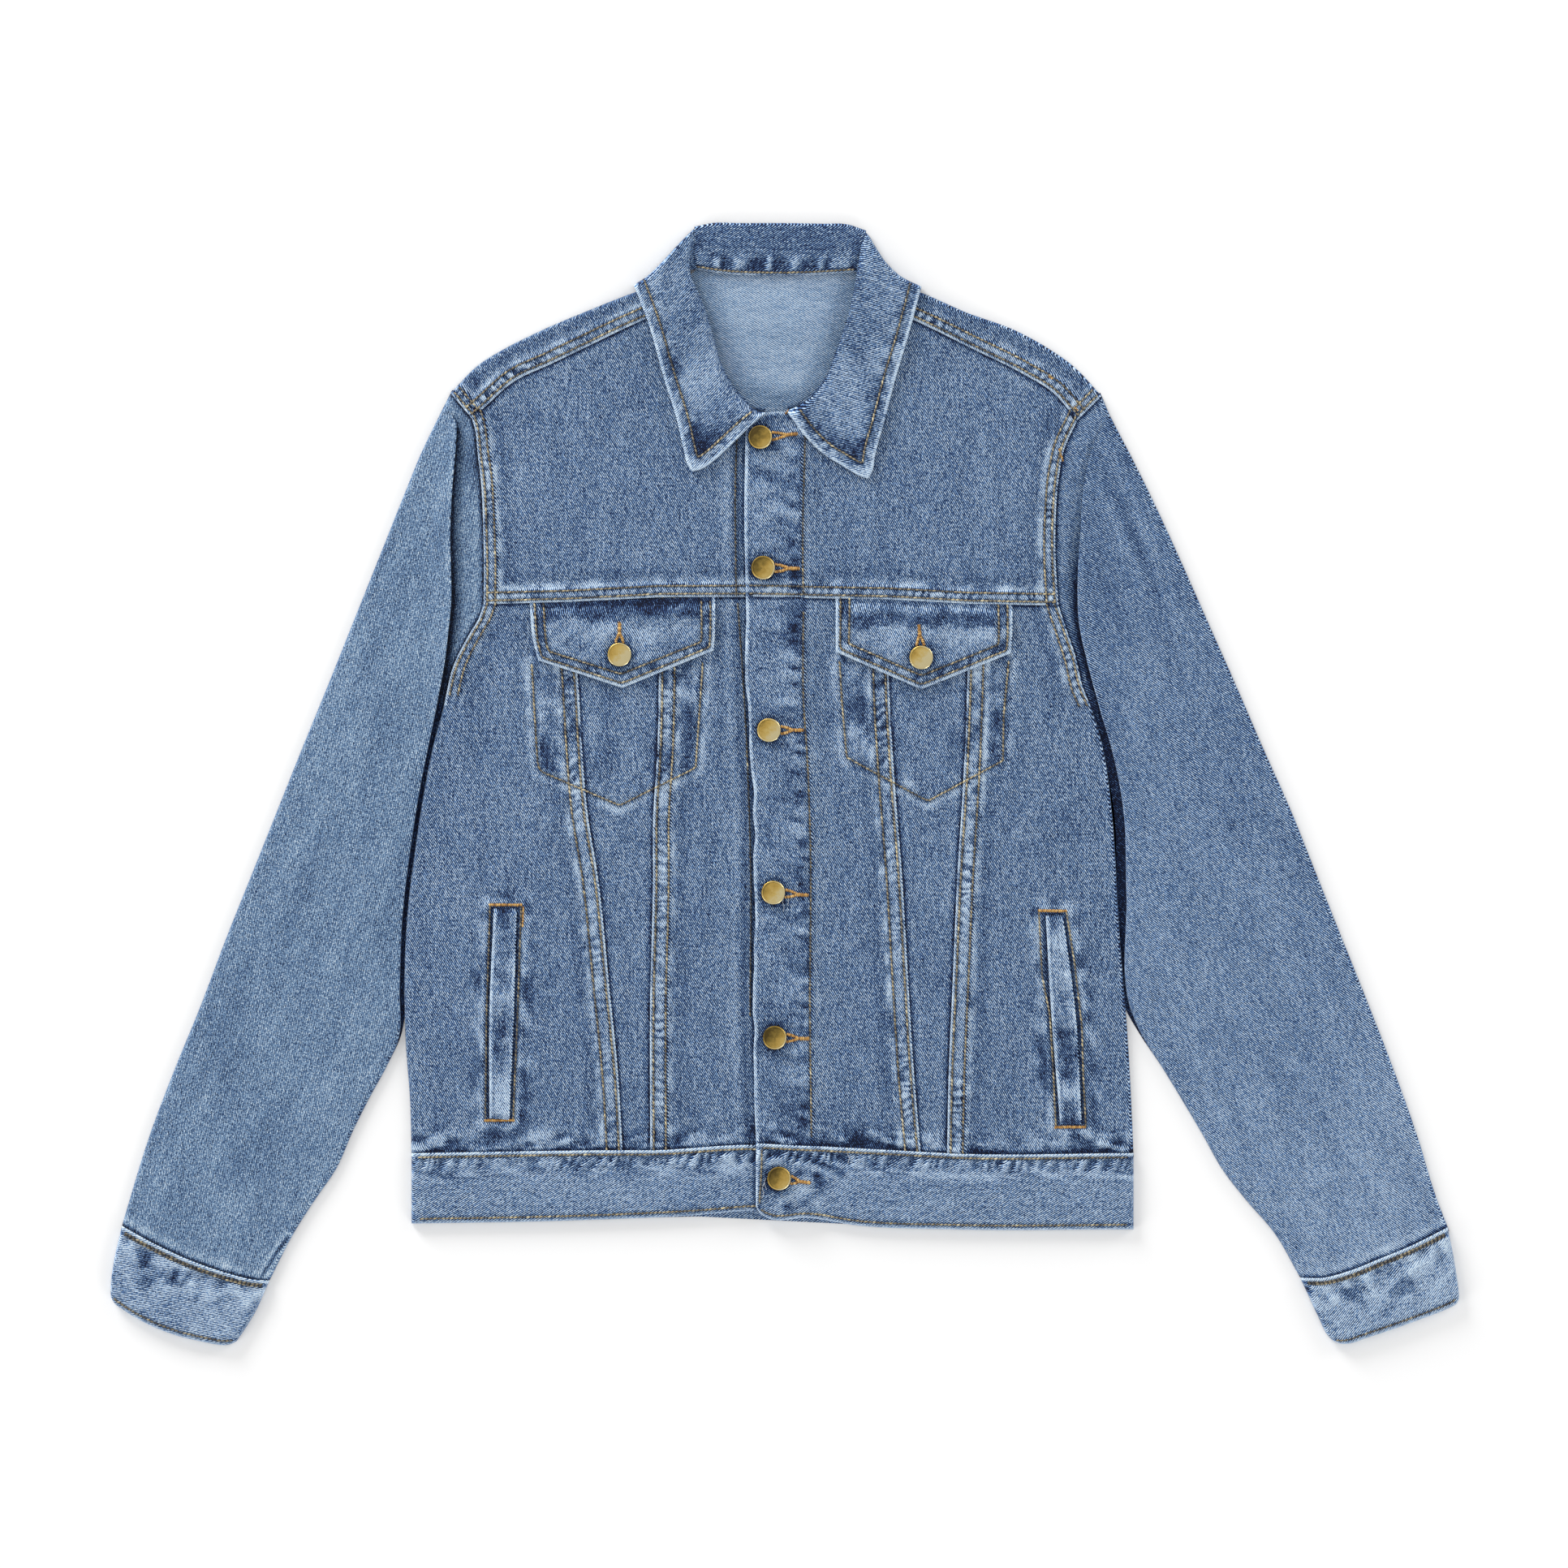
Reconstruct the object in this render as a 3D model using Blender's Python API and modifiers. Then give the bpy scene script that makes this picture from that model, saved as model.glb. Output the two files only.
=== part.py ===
"""A denim trucker jacket laid flat, face up, modelled in metres with +Z up.

X runs to the wearer's left, Y runs from the hem to the collar, and Z is up from the surface
that the jacket lies on. The origin is at the middle of the bounding box's bottom.

Every cloth piece is a wall: its inner surface, which faces the hollow of the garment, is a grid
of points between the piece's seam lines, and a Solidify modifier grows the cloth outwards from it.
A vertex group scales that growth, so felled seams and facings stand up on the outside only.
"""

import bmesh
import bpy
import numpy as np

# ---- Driving dimensions, in metres ----
CLOTH = 0.0012  # one layer of denim
DOUBLE = 0.0020  # two layers: collar, flaps, welts, waistband and cuffs
FELL = 0.0007  # how far a felled seam stands above one layer
FELL_WIDTH = 0.0085  # width of a felled seam
FELL_SLOPE = 0.0015  # its step down to plain cloth
SEAM_GAP = 0.0003  # between pieces that are sewn edge to edge
LAY_GAP = 0.0006  # between cloth that lies on cloth
LOFT = 0.0014  # how far the fronts puff up from the back
COLLAR_LIFT = DOUBLE + SEAM_GAP  # the back lies over the fall of the collar
FOLD_RADIUS = 0.0006  # inner radius where cloth folds over
LAP_RISE = 0.0022  # the left front over the right front
PLACKET_WIDTH = 0.040
SLEEVE_PUFF = 0.0012
CREASE_RISE = 0.0018  # the sleeve stands over its underarm part
CREASE_REACH = 0.045  # and comes down again over this width
BUTTON_DIAMETER = 0.0165
BUTTON_HEIGHT = 0.0036
SHANK_DIAMETER = 0.0070
SHANK_HEIGHT = 0.0012

MM = 0.001
THICKEST = DOUBLE + FELL  # the vertex group's full weight

# ---- Seam lines and outlines. Columns: across (x) and up (y), in millimetres ----
LINES = {
    "right": {
        "shoulder": ((-72, 351), (-102, 341.3), (-136, 328), (-171, 313), (-193, 302), (-211, 291), (-231, 271)),
        "forward": ((-73, 326), (-100, 315), (-136, 299), (-171, 282), (-193, 269), (-216, 253)),
        "armhole": ((-216, 253), (-209, 232), (-207, 205), (-207, 155), (-208, 125)),
        "underarm": ((-208, 125), (-211, 116), (-218, 104), (-229, 82), (-235, 57)),
        "side": ((-235, 57), (-243, 28), (-249, -2), (-255, -40), (-261, -90), (-263, -146), (-262, -178),
                 (-259, -218), (-258, -254)),
        "outer seam": ((-149, 125), (-143, 77), (-140, 28), (-136, -20), (-129, -63), (-121, -140),
                       (-115, -200), (-112, -252)),
        "inner seam": ((-87, 127), (-87, 77), (-88, 28), (-91, -26), (-91, -63), (-93, -149), (-93, -252)),
        "front edge": ((5, 130), (5, 60), (5, -60), (5, -160), (5, -247)),
        "yoke front edge": ((5, 130), (5, 190), (4, 252)),
        "neckline": ((4, 252), (-13, 256), (-26, 257), (-37, 263), (-52, 277), (-66, 306), (-73, 326)),
        "sleeve outer": ((-231, 271), (-241, 251), (-252, 228), (-261, 206), (-279, 161), (-297, 116),
                         (-315, 71), (-333, 27), (-351, -18), (-369, -63), (-387, -108), (-404, -153),
                         (-422, -197), (-439, -242), (-453, -287), (-458, -304)),
        "crease": ((-238, 257), (-230, 235), (-228, 195), (-230, 155), (-229, 128), (-232, 112), (-237, 84),
                   (-240, 57)),
        "sleeve inner": ((-240, 57), (-246, 28), (-252, -2), (-258, -40), (-264, -90), (-266, -140),
                         (-267, -176), (-275, -194), (-287, -216), (-298, -238), (-310, -265), (-325, -287),
                         (-339, -309), (-356, -342)),
        "cuff seam": ((-458, -304), (-434, -317), (-410, -328), (-387, -336), (-368, -341), (-356, -342)),
        "cuff end": ((-466, -353), (-443, -371), (-421, -380), (-400, -385), (-380, -387)),
        "cuff outer": ((-458, -304), (-464, -331), (-466, -353)),
        "cuff inner": ((-356, -342), (-367, -366), (-380, -387)),
        "waist": ((-258, -254), (-112, -252), (-93, -252), (-21, -248.3), (8, -249.5)),
        "hem": ((-258, -303), (-153, -301), (-60, -297), (-21, -294), (10, -294)),
        "flap": {"top": ((-176, 123), (-112, 125), (-48, 127)), "left": ((-170, 86), (-174, 101), (-176, 123)),
                 "right": ((-49, 93), (-48, 110), (-48, 127)), "low left": ((-170, 86), (-141, 77), (-112, 67)),
                 "low right": ((-112, 67), (-80, 78), (-49, 93))},
        "welt": {"left": ((-204, -230), (-204, -158), (-201, -85)),
                 "right": ((-190, -231), (-187, -158), (-185, -85))},
        "leaf edge": ((-64, 216), (-72, 245), (-83, 281), (-94, 318), (-104.5, 345.5)),
        "leaf front": ((-13, 257), (-38, 237), (-64, 216)),
        "leaf turn": ((-104.5, 345.5), (-95, 353), (-80, 365), (-68, 377), (-58.5, 388.8)),
    },
    "left": {
        "shoulder": ((58, 351), (92, 341.3), (125, 327), (160, 314), (182, 302), (199, 290), (219, 269)),
        "forward": ((59, 326), (92, 312), (130, 296), (160, 280), (181, 267), (202, 252)),
        "armhole": ((202, 252), (193, 232), (189, 211), (187, 183), (187, 155), (189, 124)),
        "underarm": ((189, 124), (194, 109), (201, 88), (206, 67), (213, 51)),
        "side": ((213, 51), (219, 30), (223, 8), (226, -18), (231, -97), (237, -175), (239, -210), (241, -254)),
        "outer seam": ((127, 125), (126, 77), (123, 1), (119, -63), (116, -131), (113, -200), (112, -254)),
        "inner seam": ((72, 128), (72, 75), (76, 1), (81, -63), (85, -131), (90, -209), (94, -253)),
        "front edge": ((-27, 130), (-26, 60), (-24, 20), (-22, -4), (-21, -60), (-22, -160), (-20, -247)),
        "yoke front edge": ((-27, 130), (-28, 190), (-27, 249)),
        "neckline": ((-27, 249), (-13, 257), (0, 258), (12, 258), (22, 261), (37, 271), (50, 295), (59, 326)),
        "sleeve outer": ((219, 269), (227, 251), (239, 228), (250, 206), (271, 161), (291, 116), (311, 71),
                         (330, 27), (350, -18), (368, -63), (386, -108), (404, -153), (421, -197), (437, -242),
                         (451, -287), (458, -305)),
        "crease": ((224, 257), (213, 235), (206, 205), (204, 176), (202, 140), (203, 112), (209, 84),
                   (218, 51)),
        "sleeve inner": ((218, 51), (225, 28), (231, 2), (234, -18), (236, -74), (240, -158), (248, -175),
                         (262, -197), (276, -220), (289, -242), (302, -265), (319, -287), (338, -309),
                         (356, -340)),
        "cuff seam": ((458, -305), (434, -317), (410, -327), (390, -335), (371, -340), (356, -340)),
        "cuff end": ((466, -354), (442, -368), (420, -376), (400, -382), (382, -387)),
        "cuff outer": ((458, -305), (463, -331), (466, -354)),
        "cuff inner": ((356, -340), (369, -365), (382, -387)),
        "waist": ((-20, -247), (94, -253), (112, -254), (241, -254)),
        "hem": ((-20, -291), (-17, -296), (-12, -299), (16, -299), (48, -304), (116, -307), (241, -307)),
        "flap": {"top": ((35, 127), (96, 125), (157, 122)), "left": ((35, 92), (35, 110), (35, 127)),
                 "right": ((156, 91), (157, 106), (157, 122)), "low left": ((35, 92), (64, 79), (94, 66)),
                 "low right": ((94, 66), (126, 77), (156, 91))},
        "welt": {"left": ((190, -234), (184, -160), (180, -90)),
                 "right": ((205, -234), (201, -160), (192, -90))},
        "leaf edge": ((59, 212), (66, 240), (74, 266), (85, 308), (94.5, 344.5)),
        "leaf front": ((1, 258), (28, 235), (59, 212)),
        "leaf turn": ((94.5, 344.5), (85, 350), (71, 362), (62, 374), (54, 388.8)),
    },
}
SIDES = {"right": -1, "left": 1}  # which way each side lies along X

# Buttons. Columns: name, across and up in millimetres, what it sits on
BUTTONS = (
    ("button_1", -17, 240, "placket"),
    ("button_2", -15, 150, "placket"),
    ("button_3", -11, 38, "placket"),
    ("button_4", -8, -74, "placket"),
    ("button_5", -7, -174, "placket"),
    ("button_6", -4, -271, "tab"),
    ("button_flap_right", -114, 90, "flap"),
    ("button_flap_left", 94, 88, "flap"),
)

# Material colours, roughness and metallic values
MATERIALS = {
    "denim": ((0.145, 0.225, 0.360), 0.90, 0.0),
    "denim_light": ((0.200, 0.285, 0.415), 0.90, 0.0),
    "brass": ((0.560, 0.420, 0.180), 0.38, 1.0),
}

# Grid steps along the shared seams, so that neighbours meet point to point
SIDE_STEPS = 7
UNDERARM_STEPS = 4
YOKE_STEPS = 6
NECK_STEPS = 5
WRAP_STEPS = 2


# ---- Lines ----
def smooth(rows, shares):
    """Points at these shares of a soft curve through the rows, all in millimetres, as metres."""
    points = np.array(rows, float) * MM
    spans = np.linalg.norm(np.diff(points, axis=0), axis=1)
    along = np.concatenate([[0.0], np.cumsum(spans)])
    slopes = np.gradient(points, along, axis=0)
    wanted = along[-1] * np.asarray(shares, float)
    at = np.clip(np.searchsorted(along, wanted, "right") - 1, 0, len(along) - 2)
    span = (along[at + 1] - along[at])[:, None]
    f = (wanted - along[at])[:, None] / span
    start = (2 * f**3 - 3 * f**2 + 1) * points[at] + (f**3 - 2 * f**2 + f) * span * slopes[at]
    end = (3 * f**2 - 2 * f**3) * points[at + 1] + (f**3 - f**2) * span * slopes[at + 1]
    return start + end


def even(rows, steps):
    return smooth(rows, np.linspace(0, 1, steps + 1))


def chain(*pieces):
    """One line from pieces that follow each other and share their end points."""
    return np.concatenate([pieces[0]] + [piece[1:] for piece in pieces[1:]])


def across_at(rows, heights):
    """The points of a rising line at these heights."""
    fine = even(rows, 200)
    fine = fine[np.argsort(fine[:, 1])]
    return np.stack([np.interp(heights, fine[:, 1], fine[:, 0]), heights], axis=1)


def spread(start, end, first, last, middle):
    """Points from start to end: at the distances first from the start and last from the end, with
    middle equal steps between them."""
    span = np.linalg.norm(end - start)
    far = [span - distance for distance in last][::-1]
    between = np.linspace(first[-1], far[0], middle + 1)[1:-1]
    shares = np.concatenate([first, between, far]) / span
    return start + (end - start) * shares[:, None]


def shares_of(line):
    """How far along the line each of its points lies, from 0 to 1."""
    run = np.concatenate([[0], np.cumsum(np.linalg.norm(np.diff(line, axis=0), axis=1))])
    return run / run[-1]


def coons(bottom, top, left, right):
    """The grid of points between four lines that meet at their ends, as rows from bottom to top."""
    u = shares_of(bottom)[None, :, None]
    v = shares_of(left)[:, None, None]
    lines = (1 - v) * bottom + v * top + (1 - u) * left[:, None] + u * right[:, None]
    corners = (1 - v) * ((1 - u) * bottom[0] + u * bottom[-1]) + v * ((1 - u) * top[0] + u * top[-1])
    return lines - corners


def pull_in(grid, below=0.0, above=0.0, left=0.0, right=0.0):
    """Moves the grid's edges towards its middle by these distances, or lists of distances."""
    grid = grid.copy()
    for edge, inner, distance in ((0, 1, below), (-1, -2, above)):
        way = grid[inner] - grid[edge]
        way = way / np.linalg.norm(way, axis=-1, keepdims=True)
        grid[edge] += np.atleast_1d(distance)[:, None] * way
    for edge, inner, distance in ((0, 1, left), (-1, -2, right)):
        way = grid[:, inner] - grid[:, edge]
        way = way / np.linalg.norm(way, axis=-1, keepdims=True)
        grid[:, edge] += np.atleast_1d(distance)[:, None] * way
    return grid


# ---- Heights of the layers. Ramps are from where a change starts to where it ends, in metres ----
NECK_MIDDLE = -0.005  # across
FALL_RAMP_UP = (0.285, 0.332)  # up: the back rises onto the collar's fall
FALL_RAMP_ASIDE = (0.108, 0.160)  # to each side: it comes down again
PUFF_FROM = 0.030  # across: the fronts puff up from here
PUFF_SPAN = 0.175
PUFF_RAMP_LOW = (-0.245, -0.190)
PUFF_RAMP_HIGH = (0.190, 0.240)
PUFF_POWER = 0.7
LAP_RAMP_RIGHT = (-0.055, -0.032)
LAP_RAMP_LEFT = (0.008, 0.028)


def ramp(value, start, end):
    """0 before start, 1 past end, and a soft step between them."""
    share = np.clip((value - start) / (end - start), 0, 1)
    return share * share * (3 - 2 * share)


def back_level(x, y):
    """The inside of the back, which lies over the fall of the collar below the neck."""
    lift = ramp(y, *FALL_RAMP_UP) * (1 - ramp(np.abs(x - NECK_MIDDLE), *FALL_RAMP_ASIDE))
    return CLOTH + COLLAR_LIFT * lift


def front_level(x, y):
    """The inside of the fronts and the shoulders."""
    puff = np.sin(np.pi * np.clip((np.abs(x) - PUFF_FROM) / PUFF_SPAN, 0, 1)) ** PUFF_POWER
    puff = puff * ramp(y, *PUFF_RAMP_LOW) * (1 - ramp(y, *PUFF_RAMP_HIGH))
    return back_level(x, y) + LAY_GAP + LOFT * puff


def lap(x):
    """How much the overlap at the front lifts what lies on it."""
    return LAP_RISE * ramp(x, *LAP_RAMP_RIGHT) * (1 - ramp(x, *LAP_RAMP_LEFT))


# ---- Meshes ----
def with_walls(grid, level, thickness):
    """Adds a height and a wall thickness to each point of a flat grid."""
    grid = np.asarray(grid)
    height = np.broadcast_to(level, grid.shape[:2])
    wall = np.broadcast_to(thickness, grid.shape[:2])
    return np.dstack([grid, height, wall])


def cloth_object(name, grids, material, outward, closed=False):
    """One wall from grids that share edges. outward is 1 where the cloth grows along the grid's own
    normals and -1 where it grows against them. A closed grid joins its last column to its first."""
    mesh = bpy.data.meshes.new(name)
    build = bmesh.new()
    weight = build.verts.layers.deform.new()
    for grid in grids:
        rows = []
        for line in grid:
            row = []
            for x, y, z, wall in line:
                vertex = build.verts.new((x, y, z))
                vertex[weight][0] = wall / THICKEST
                row.append(vertex)
            rows.append(row + row[:1] if closed else row)
        for low, high in zip(rows[:-1], rows[1:]):
            for k in range(len(low) - 1):
                build.faces.new((low[k], low[k + 1], high[k + 1], high[k]))
    bmesh.ops.remove_doubles(build, verts=build.verts, dist=0.000001)
    build.to_mesh(mesh)
    build.free()
    mesh.materials.append(material)
    piece = bpy.data.objects.new(name, mesh)
    piece.vertex_groups.new(name="wall")
    wall = piece.modifiers.new("Cloth", "SOLIDIFY")
    wall.thickness = THICKEST
    wall.offset = outward
    wall.vertex_group = "wall"
    wall.use_quality_normals = True
    return piece


# ---- Shared seam lines ----
def side_line(side):
    """The side edge and the lower armhole, from the waist seam to the yoke seam. The rows of the
    lower fronts start at its points."""
    lines = LINES[side]
    return chain(even(lines["side"][::-1], SIDE_STEPS), even(lines["underarm"][::-1], UNDERARM_STEPS))


def seam_rows(side, name):
    """A seam's points at the rows of the lower fronts."""
    edge = side_line(side)
    rows = LINES[side][name]
    low, high = rows[-1][1] * MM, rows[0][1] * MM
    share = (edge[:, 1] - edge[0, 1]) / (edge[-1, 1] - edge[0, 1])
    return across_at(rows, low + share * (high - low))


def armhole_line(side):
    """The armhole from the yoke seam up to the shoulder seam, with a step at the yoke's felled seam."""
    rows = LINES[side]["armhole"][::-1]
    length = np.linalg.norm(np.diff(even(rows, 100), axis=0), axis=1).sum()
    felled = [0, FELL_WIDTH / length, (FELL_WIDTH + FELL_SLOPE) / length]
    shares = np.concatenate([felled, np.linspace(felled[-1], 1, YOKE_STEPS + 1)[1:]])
    return smooth(rows, shares)


def tip_line(side):
    """The armhole across the end of the shoulder, from the shoulder seam up to its fold."""
    lines = LINES[side]
    return np.linspace(lines["armhole"][0], lines["shoulder"][-1], WRAP_STEPS + 1) * MM


# ---- Fronts below the yoke ----
FELLED = (0.0, FELL_WIDTH, FELL_WIDTH + FELL_SLOPE)
PLAIN = (0.0,)
TURN = tuple(CLOTH + run for run in (0.0, 0.0003, 0.0013, 0.0040))
TURN_LEVELS = (0.0, 0.0009, 0.0016)  # heights of the side fold's first columns
ARM_FELLED = (0.0, 0.5 * FELL_WIDTH, FELL_WIDTH, FELL_WIDTH + FELL_SLOPE)
PLACKET = (0.0, 0.5 * PLACKET_WIDTH, PLACKET_WIDTH, PLACKET_WIDTH + FELL_SLOPE)


def thickness_of(count, raised_first=0, raised_last=0, plain=CLOTH):
    wall = np.full(count, plain)
    wall[:raised_first] += FELL
    wall[count - raised_last:] += FELL
    return wall


def side_panel(side):
    """From the side fold to the outer seam: columns run from the fold inwards."""
    edge = side_line(side)
    seam = seam_rows(side, "outer seam")
    grid = []
    for k, (start, end) in enumerate(zip(edge, seam)):
        first = TURN if k <= SIDE_STEPS else ARM_FELLED
        grid.append(spread(start, end, first, FELLED, 3))
    grid = np.array(grid)
    level = front_level(grid[..., 0], grid[..., 1])
    for column, height in enumerate(TURN_LEVELS):
        level[: SIDE_STEPS + 1, column] = height
    wall = np.tile(thickness_of(grid.shape[1], 0, 2), (len(grid), 1))
    wall[SIDE_STEPS + 1:, :3] = CLOTH + FELL
    return grid, level, wall


def wedge_panel(side):
    """Between the two slanted seams: plain cloth under its neighbours' felled edges."""
    outer = seam_rows(side, "outer seam")
    inner = seam_rows(side, "inner seam")
    grid = np.array([spread(start, end, PLAIN, PLAIN, 4) for start, end in zip(outer, inner)])
    return grid, front_level(grid[..., 0], grid[..., 1]), np.full(grid.shape[:2], CLOTH)


def centre_panel(side):
    """From the inner seam to the front edge."""
    inner = seam_rows(side, "inner seam")
    edge = seam_rows(side, "front edge")
    last = PLACKET if side == "left" else PLAIN
    middle = 2 if side == "left" else 4
    grid = np.array([spread(start, end, FELLED, last, middle) for start, end in zip(inner, edge)])
    level = front_level(grid[..., 0], grid[..., 1])
    raised = 3 if side == "left" else 0
    wall = np.tile(thickness_of(grid.shape[1], 2, raised), (len(grid), 1))
    if side == "left":
        level = level + lap(grid[..., 0])
    return grid, level, wall


def facing_up(side):
    """Which way to grow the cloth of a front: columns that run to -X turn the normals over."""
    return -SIDES[side]


def make_lower_fronts(side, materials):
    pieces = []
    for name, panel, edges in (
        ("front_side_" + side, side_panel, {"left": 0.0}),
        ("front_wedge_" + side, wedge_panel, {}),
        ("front_centre_" + side, centre_panel, {"right": 0.0}),
    ):
        grid, level, wall = panel(side)
        half = {"below": SEAM_GAP / 2, "above": SEAM_GAP / 2, "left": SEAM_GAP / 2, "right": SEAM_GAP / 2}
        half.update(edges)
        grid = pull_in(grid, **half)
        if panel is side_panel:
            way = grid[SIDE_STEPS + 1:, 1] - grid[SIDE_STEPS + 1:, 0]
            way /= np.linalg.norm(way, axis=-1, keepdims=True)
            grid[SIDE_STEPS + 1:, 0] += SEAM_GAP / 2 * way
        piece = cloth_object(name, [with_walls(grid, level, wall)], materials["denim"], facing_up(side))
        pieces.append(piece)
    return pieces


# ---- Yokes ----
def yoke_bottom(side):
    """The yoke seam, point for point as the lower fronts have it, from the armhole inwards."""
    pieces = [panel(side)[0][-1] for panel in (side_panel, wedge_panel, centre_panel)]
    pieces[0][0] = np.array(LINES[side]["underarm"][0]) * MM
    return chain(*pieces)


def make_yoke(side, materials):
    lines = LINES[side]
    bottom = yoke_bottom(side)
    top = smooth(lines["forward"][::-1], shares_of(bottom))
    left = armhole_line(side)
    front = lines["yoke front edge"]
    rise = (front[-1][1] - front[0][1]) * MM
    front_steps = len(left) - 1 - NECK_STEPS - 2
    felled = [0, FELL_WIDTH / rise, (FELL_WIDTH + FELL_SLOPE) / rise]
    front_shares = np.concatenate([felled, np.linspace(felled[-1], 1, front_steps + 1)[1:]])
    right = chain(smooth(front, front_shares), even(lines["neckline"], NECK_STEPS))
    bottom[-1] = right[0]
    grid = coons(bottom, top, left, right)
    half = SEAM_GAP / 2
    grid = pull_in(grid, below=half, above=half, left=half, right=half)
    level = front_level(grid[..., 0], grid[..., 1])
    wall = np.full(grid.shape[:2], CLOTH)
    wall[:2] = CLOTH + FELL
    wall[:, :3] = CLOTH + FELL
    if side == "left":
        level = level + lap(grid[..., 0])
        wall[: front_steps + 3, -3:] = CLOTH + FELL
    return cloth_object(
        "front_yoke_" + side, [with_walls(grid, level, wall)], materials["denim"], facing_up(side)
    )


# ---- Back ----
BACK_SHOULDER_STEPS = 8
BACK_NECK = ((-58, 356), (-32, 356), (-7, 356), (19, 356), (44, 356))  # across and up, in millimetres
BACK_IN = CLOTH + 0.0011  # the back's side edges stand inside the side fold


def back_neckline():
    """From the right end of the shoulders to the left one."""
    ends = [LINES[side]["shoulder"][0] for side in ("right", "left")]
    return np.array([ends[0], *BACK_NECK, ends[1]], float) * MM


def back_edge(side):
    """The back's side and armhole, from the waist up to the tip of the shoulder."""
    return chain(side_line(side), armhole_line(side), tip_line(side))


def edge_row(grid, distance):
    """The grid with one more row, this far inside its last."""
    way = grid[-2] - grid[-1]
    way = way / np.linalg.norm(way, axis=-1, keepdims=True)
    return np.concatenate([grid[:-1], [grid[-1] + distance * way], grid[-1:]])


def make_back(materials):
    """The back lies flat, and its shoulders fold over to the front as far as the forward seams."""
    right = back_edge("right")
    left = back_edge("left")
    top_right = even(LINES["right"]["shoulder"][::-1], BACK_SHOULDER_STEPS)
    top_left = even(LINES["left"]["shoulder"], BACK_SHOULDER_STEPS)
    neck = back_neckline()
    top = chain(top_right, neck, top_left)
    columns = len(top)
    bottom = np.linspace(right[0], left[0], columns)
    flat = coons(bottom, top, right, left)
    in_side = np.full(len(flat), SEAM_GAP / 2)
    in_side[: SIDE_STEPS + 1] = BACK_IN
    in_side[SIDE_STEPS - 1: SIDE_STEPS + 2] = 2 * BACK_IN
    in_top = np.full(columns, CLOTH)
    neck_columns = slice(BACK_SHOULDER_STEPS + 1, columns - BACK_SHOULDER_STEPS - 1)
    in_top[neck_columns] = SEAM_GAP / 2
    flat = pull_in(flat, below=SEAM_GAP / 2, above=in_top, left=in_side, right=in_side)
    flat = edge_row(flat, 2 * FOLD_RADIUS)
    level = back_level(flat[..., 0], flat[..., 1])
    fold = level[-1] + 0.5 * LAY_GAP
    fold[neck_columns] = level[-1, neck_columns]
    level[-1] = fold
    grids = [with_walls(flat, level, CLOTH)]
    shoulders = {
        "right": slice(0, BACK_SHOULDER_STEPS + 1),
        "left": slice(columns - BACK_SHOULDER_STEPS - 1, columns),
    }
    at_fold = (0.0, 2 * FOLD_RADIUS)
    at_seam = (SEAM_GAP / 2, FELL_WIDTH, FELL_WIDTH + FELL_SLOPE)
    for side, part in shoulders.items():
        seam = even(LINES[side]["forward"], BACK_SHOULDER_STEPS)
        seam = seam[::-1] if side == "right" else seam
        over = np.array([spread(start, end, at_fold, at_seam, 1) for start, end in zip(flat[-1, part], seam)])
        over = over.transpose(1, 0, 2)
        height = front_level(over[..., 0], over[..., 1])
        height[0] = fold[part]
        wall = np.full(over.shape[:2], CLOTH)
        wall[-2:] = CLOTH + FELL
        grids.append(with_walls(over, height, wall))
    return cloth_object("back", grids, materials["denim"], -1)


# ---- Sleeves and cuffs ----
SLEEVE_STEPS = 11
CUFF_STEPS = 3
CREASE_FOOT = 0.0025  # width of the drop from the crease to the underarm part
HUMP_POWER = 0.7
CUFF_HUMP_POWER = 0.5


def sleeve_top(side):
    """The armhole from the tip of the shoulder down to the underarm, as the body has it."""
    underarm = even(LINES[side]["underarm"], UNDERARM_STEPS)
    return chain(tip_line(side)[::-1], armhole_line(side)[::-1], underarm)


def ring_grid(flat, level, wall, floor):
    """A flattened tube: its upper side, the fold at one edge, its lower side and the other fold."""
    inset = pull_in(flat, left=wall + 2 * FOLD_RADIUS, right=wall + 2 * FOLD_RADIUS)
    folds = pull_in(flat, left=wall, right=wall)
    rows = []
    for line, fold, height in zip(inset, folds, level):
        upper = np.column_stack([line, height])
        lower = np.column_stack([line, np.full(len(line), floor)])[::-1]
        last = np.array([*fold[-1], 0.5 * (height[-1] + floor)])
        first = np.array([*fold[0], 0.5 * (height[0] + floor)])
        ring = np.concatenate([upper, [last], lower, [first]])
        rows.append(np.column_stack([ring, np.full(len(ring), wall)]))
    return np.array(rows)


def sleeve_grid(side):
    lines = LINES[side]
    head = sleeve_top(side)
    columns = len(head) - 1
    crease = even(lines["crease"], columns)
    outer_rows = [row for row in lines["sleeve outer"] if row[1] < lines["crease"][0][1]]
    outer = even([lines["crease"][0], *outer_rows], SLEEVE_STEPS)[::-1]
    inner = even(lines["sleeve inner"], SLEEVE_STEPS)[::-1]
    cuff = even(lines["cuff seam"], columns)
    main = coons(cuff, crease, outer, inner)
    way = head - crease
    span = np.linalg.norm(way, axis=-1, keepdims=True)
    foot = crease + way / span * np.minimum(CREASE_FOOT, 0.4 * span)
    flat = np.concatenate([main, [foot, head]])
    flat = pull_in(flat, below=SEAM_GAP / 2, above=2 * SEAM_GAP)
    across = np.linspace(0, 1, columns + 1)
    hump = np.sin(np.pi * across) ** HUMP_POWER
    base = CLOTH + LAY_GAP
    fall = np.linalg.norm(main - crease, axis=-1)
    past = ramp(fall, 0, CREASE_REACH)
    level = base + hump * (SLEEVE_PUFF * past + CREASE_RISE * (1 - past))
    seam_level = front_level(head[:, 0], head[:, 1])
    level = np.concatenate([level, [seam_level, seam_level]])
    return flat, level


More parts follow.
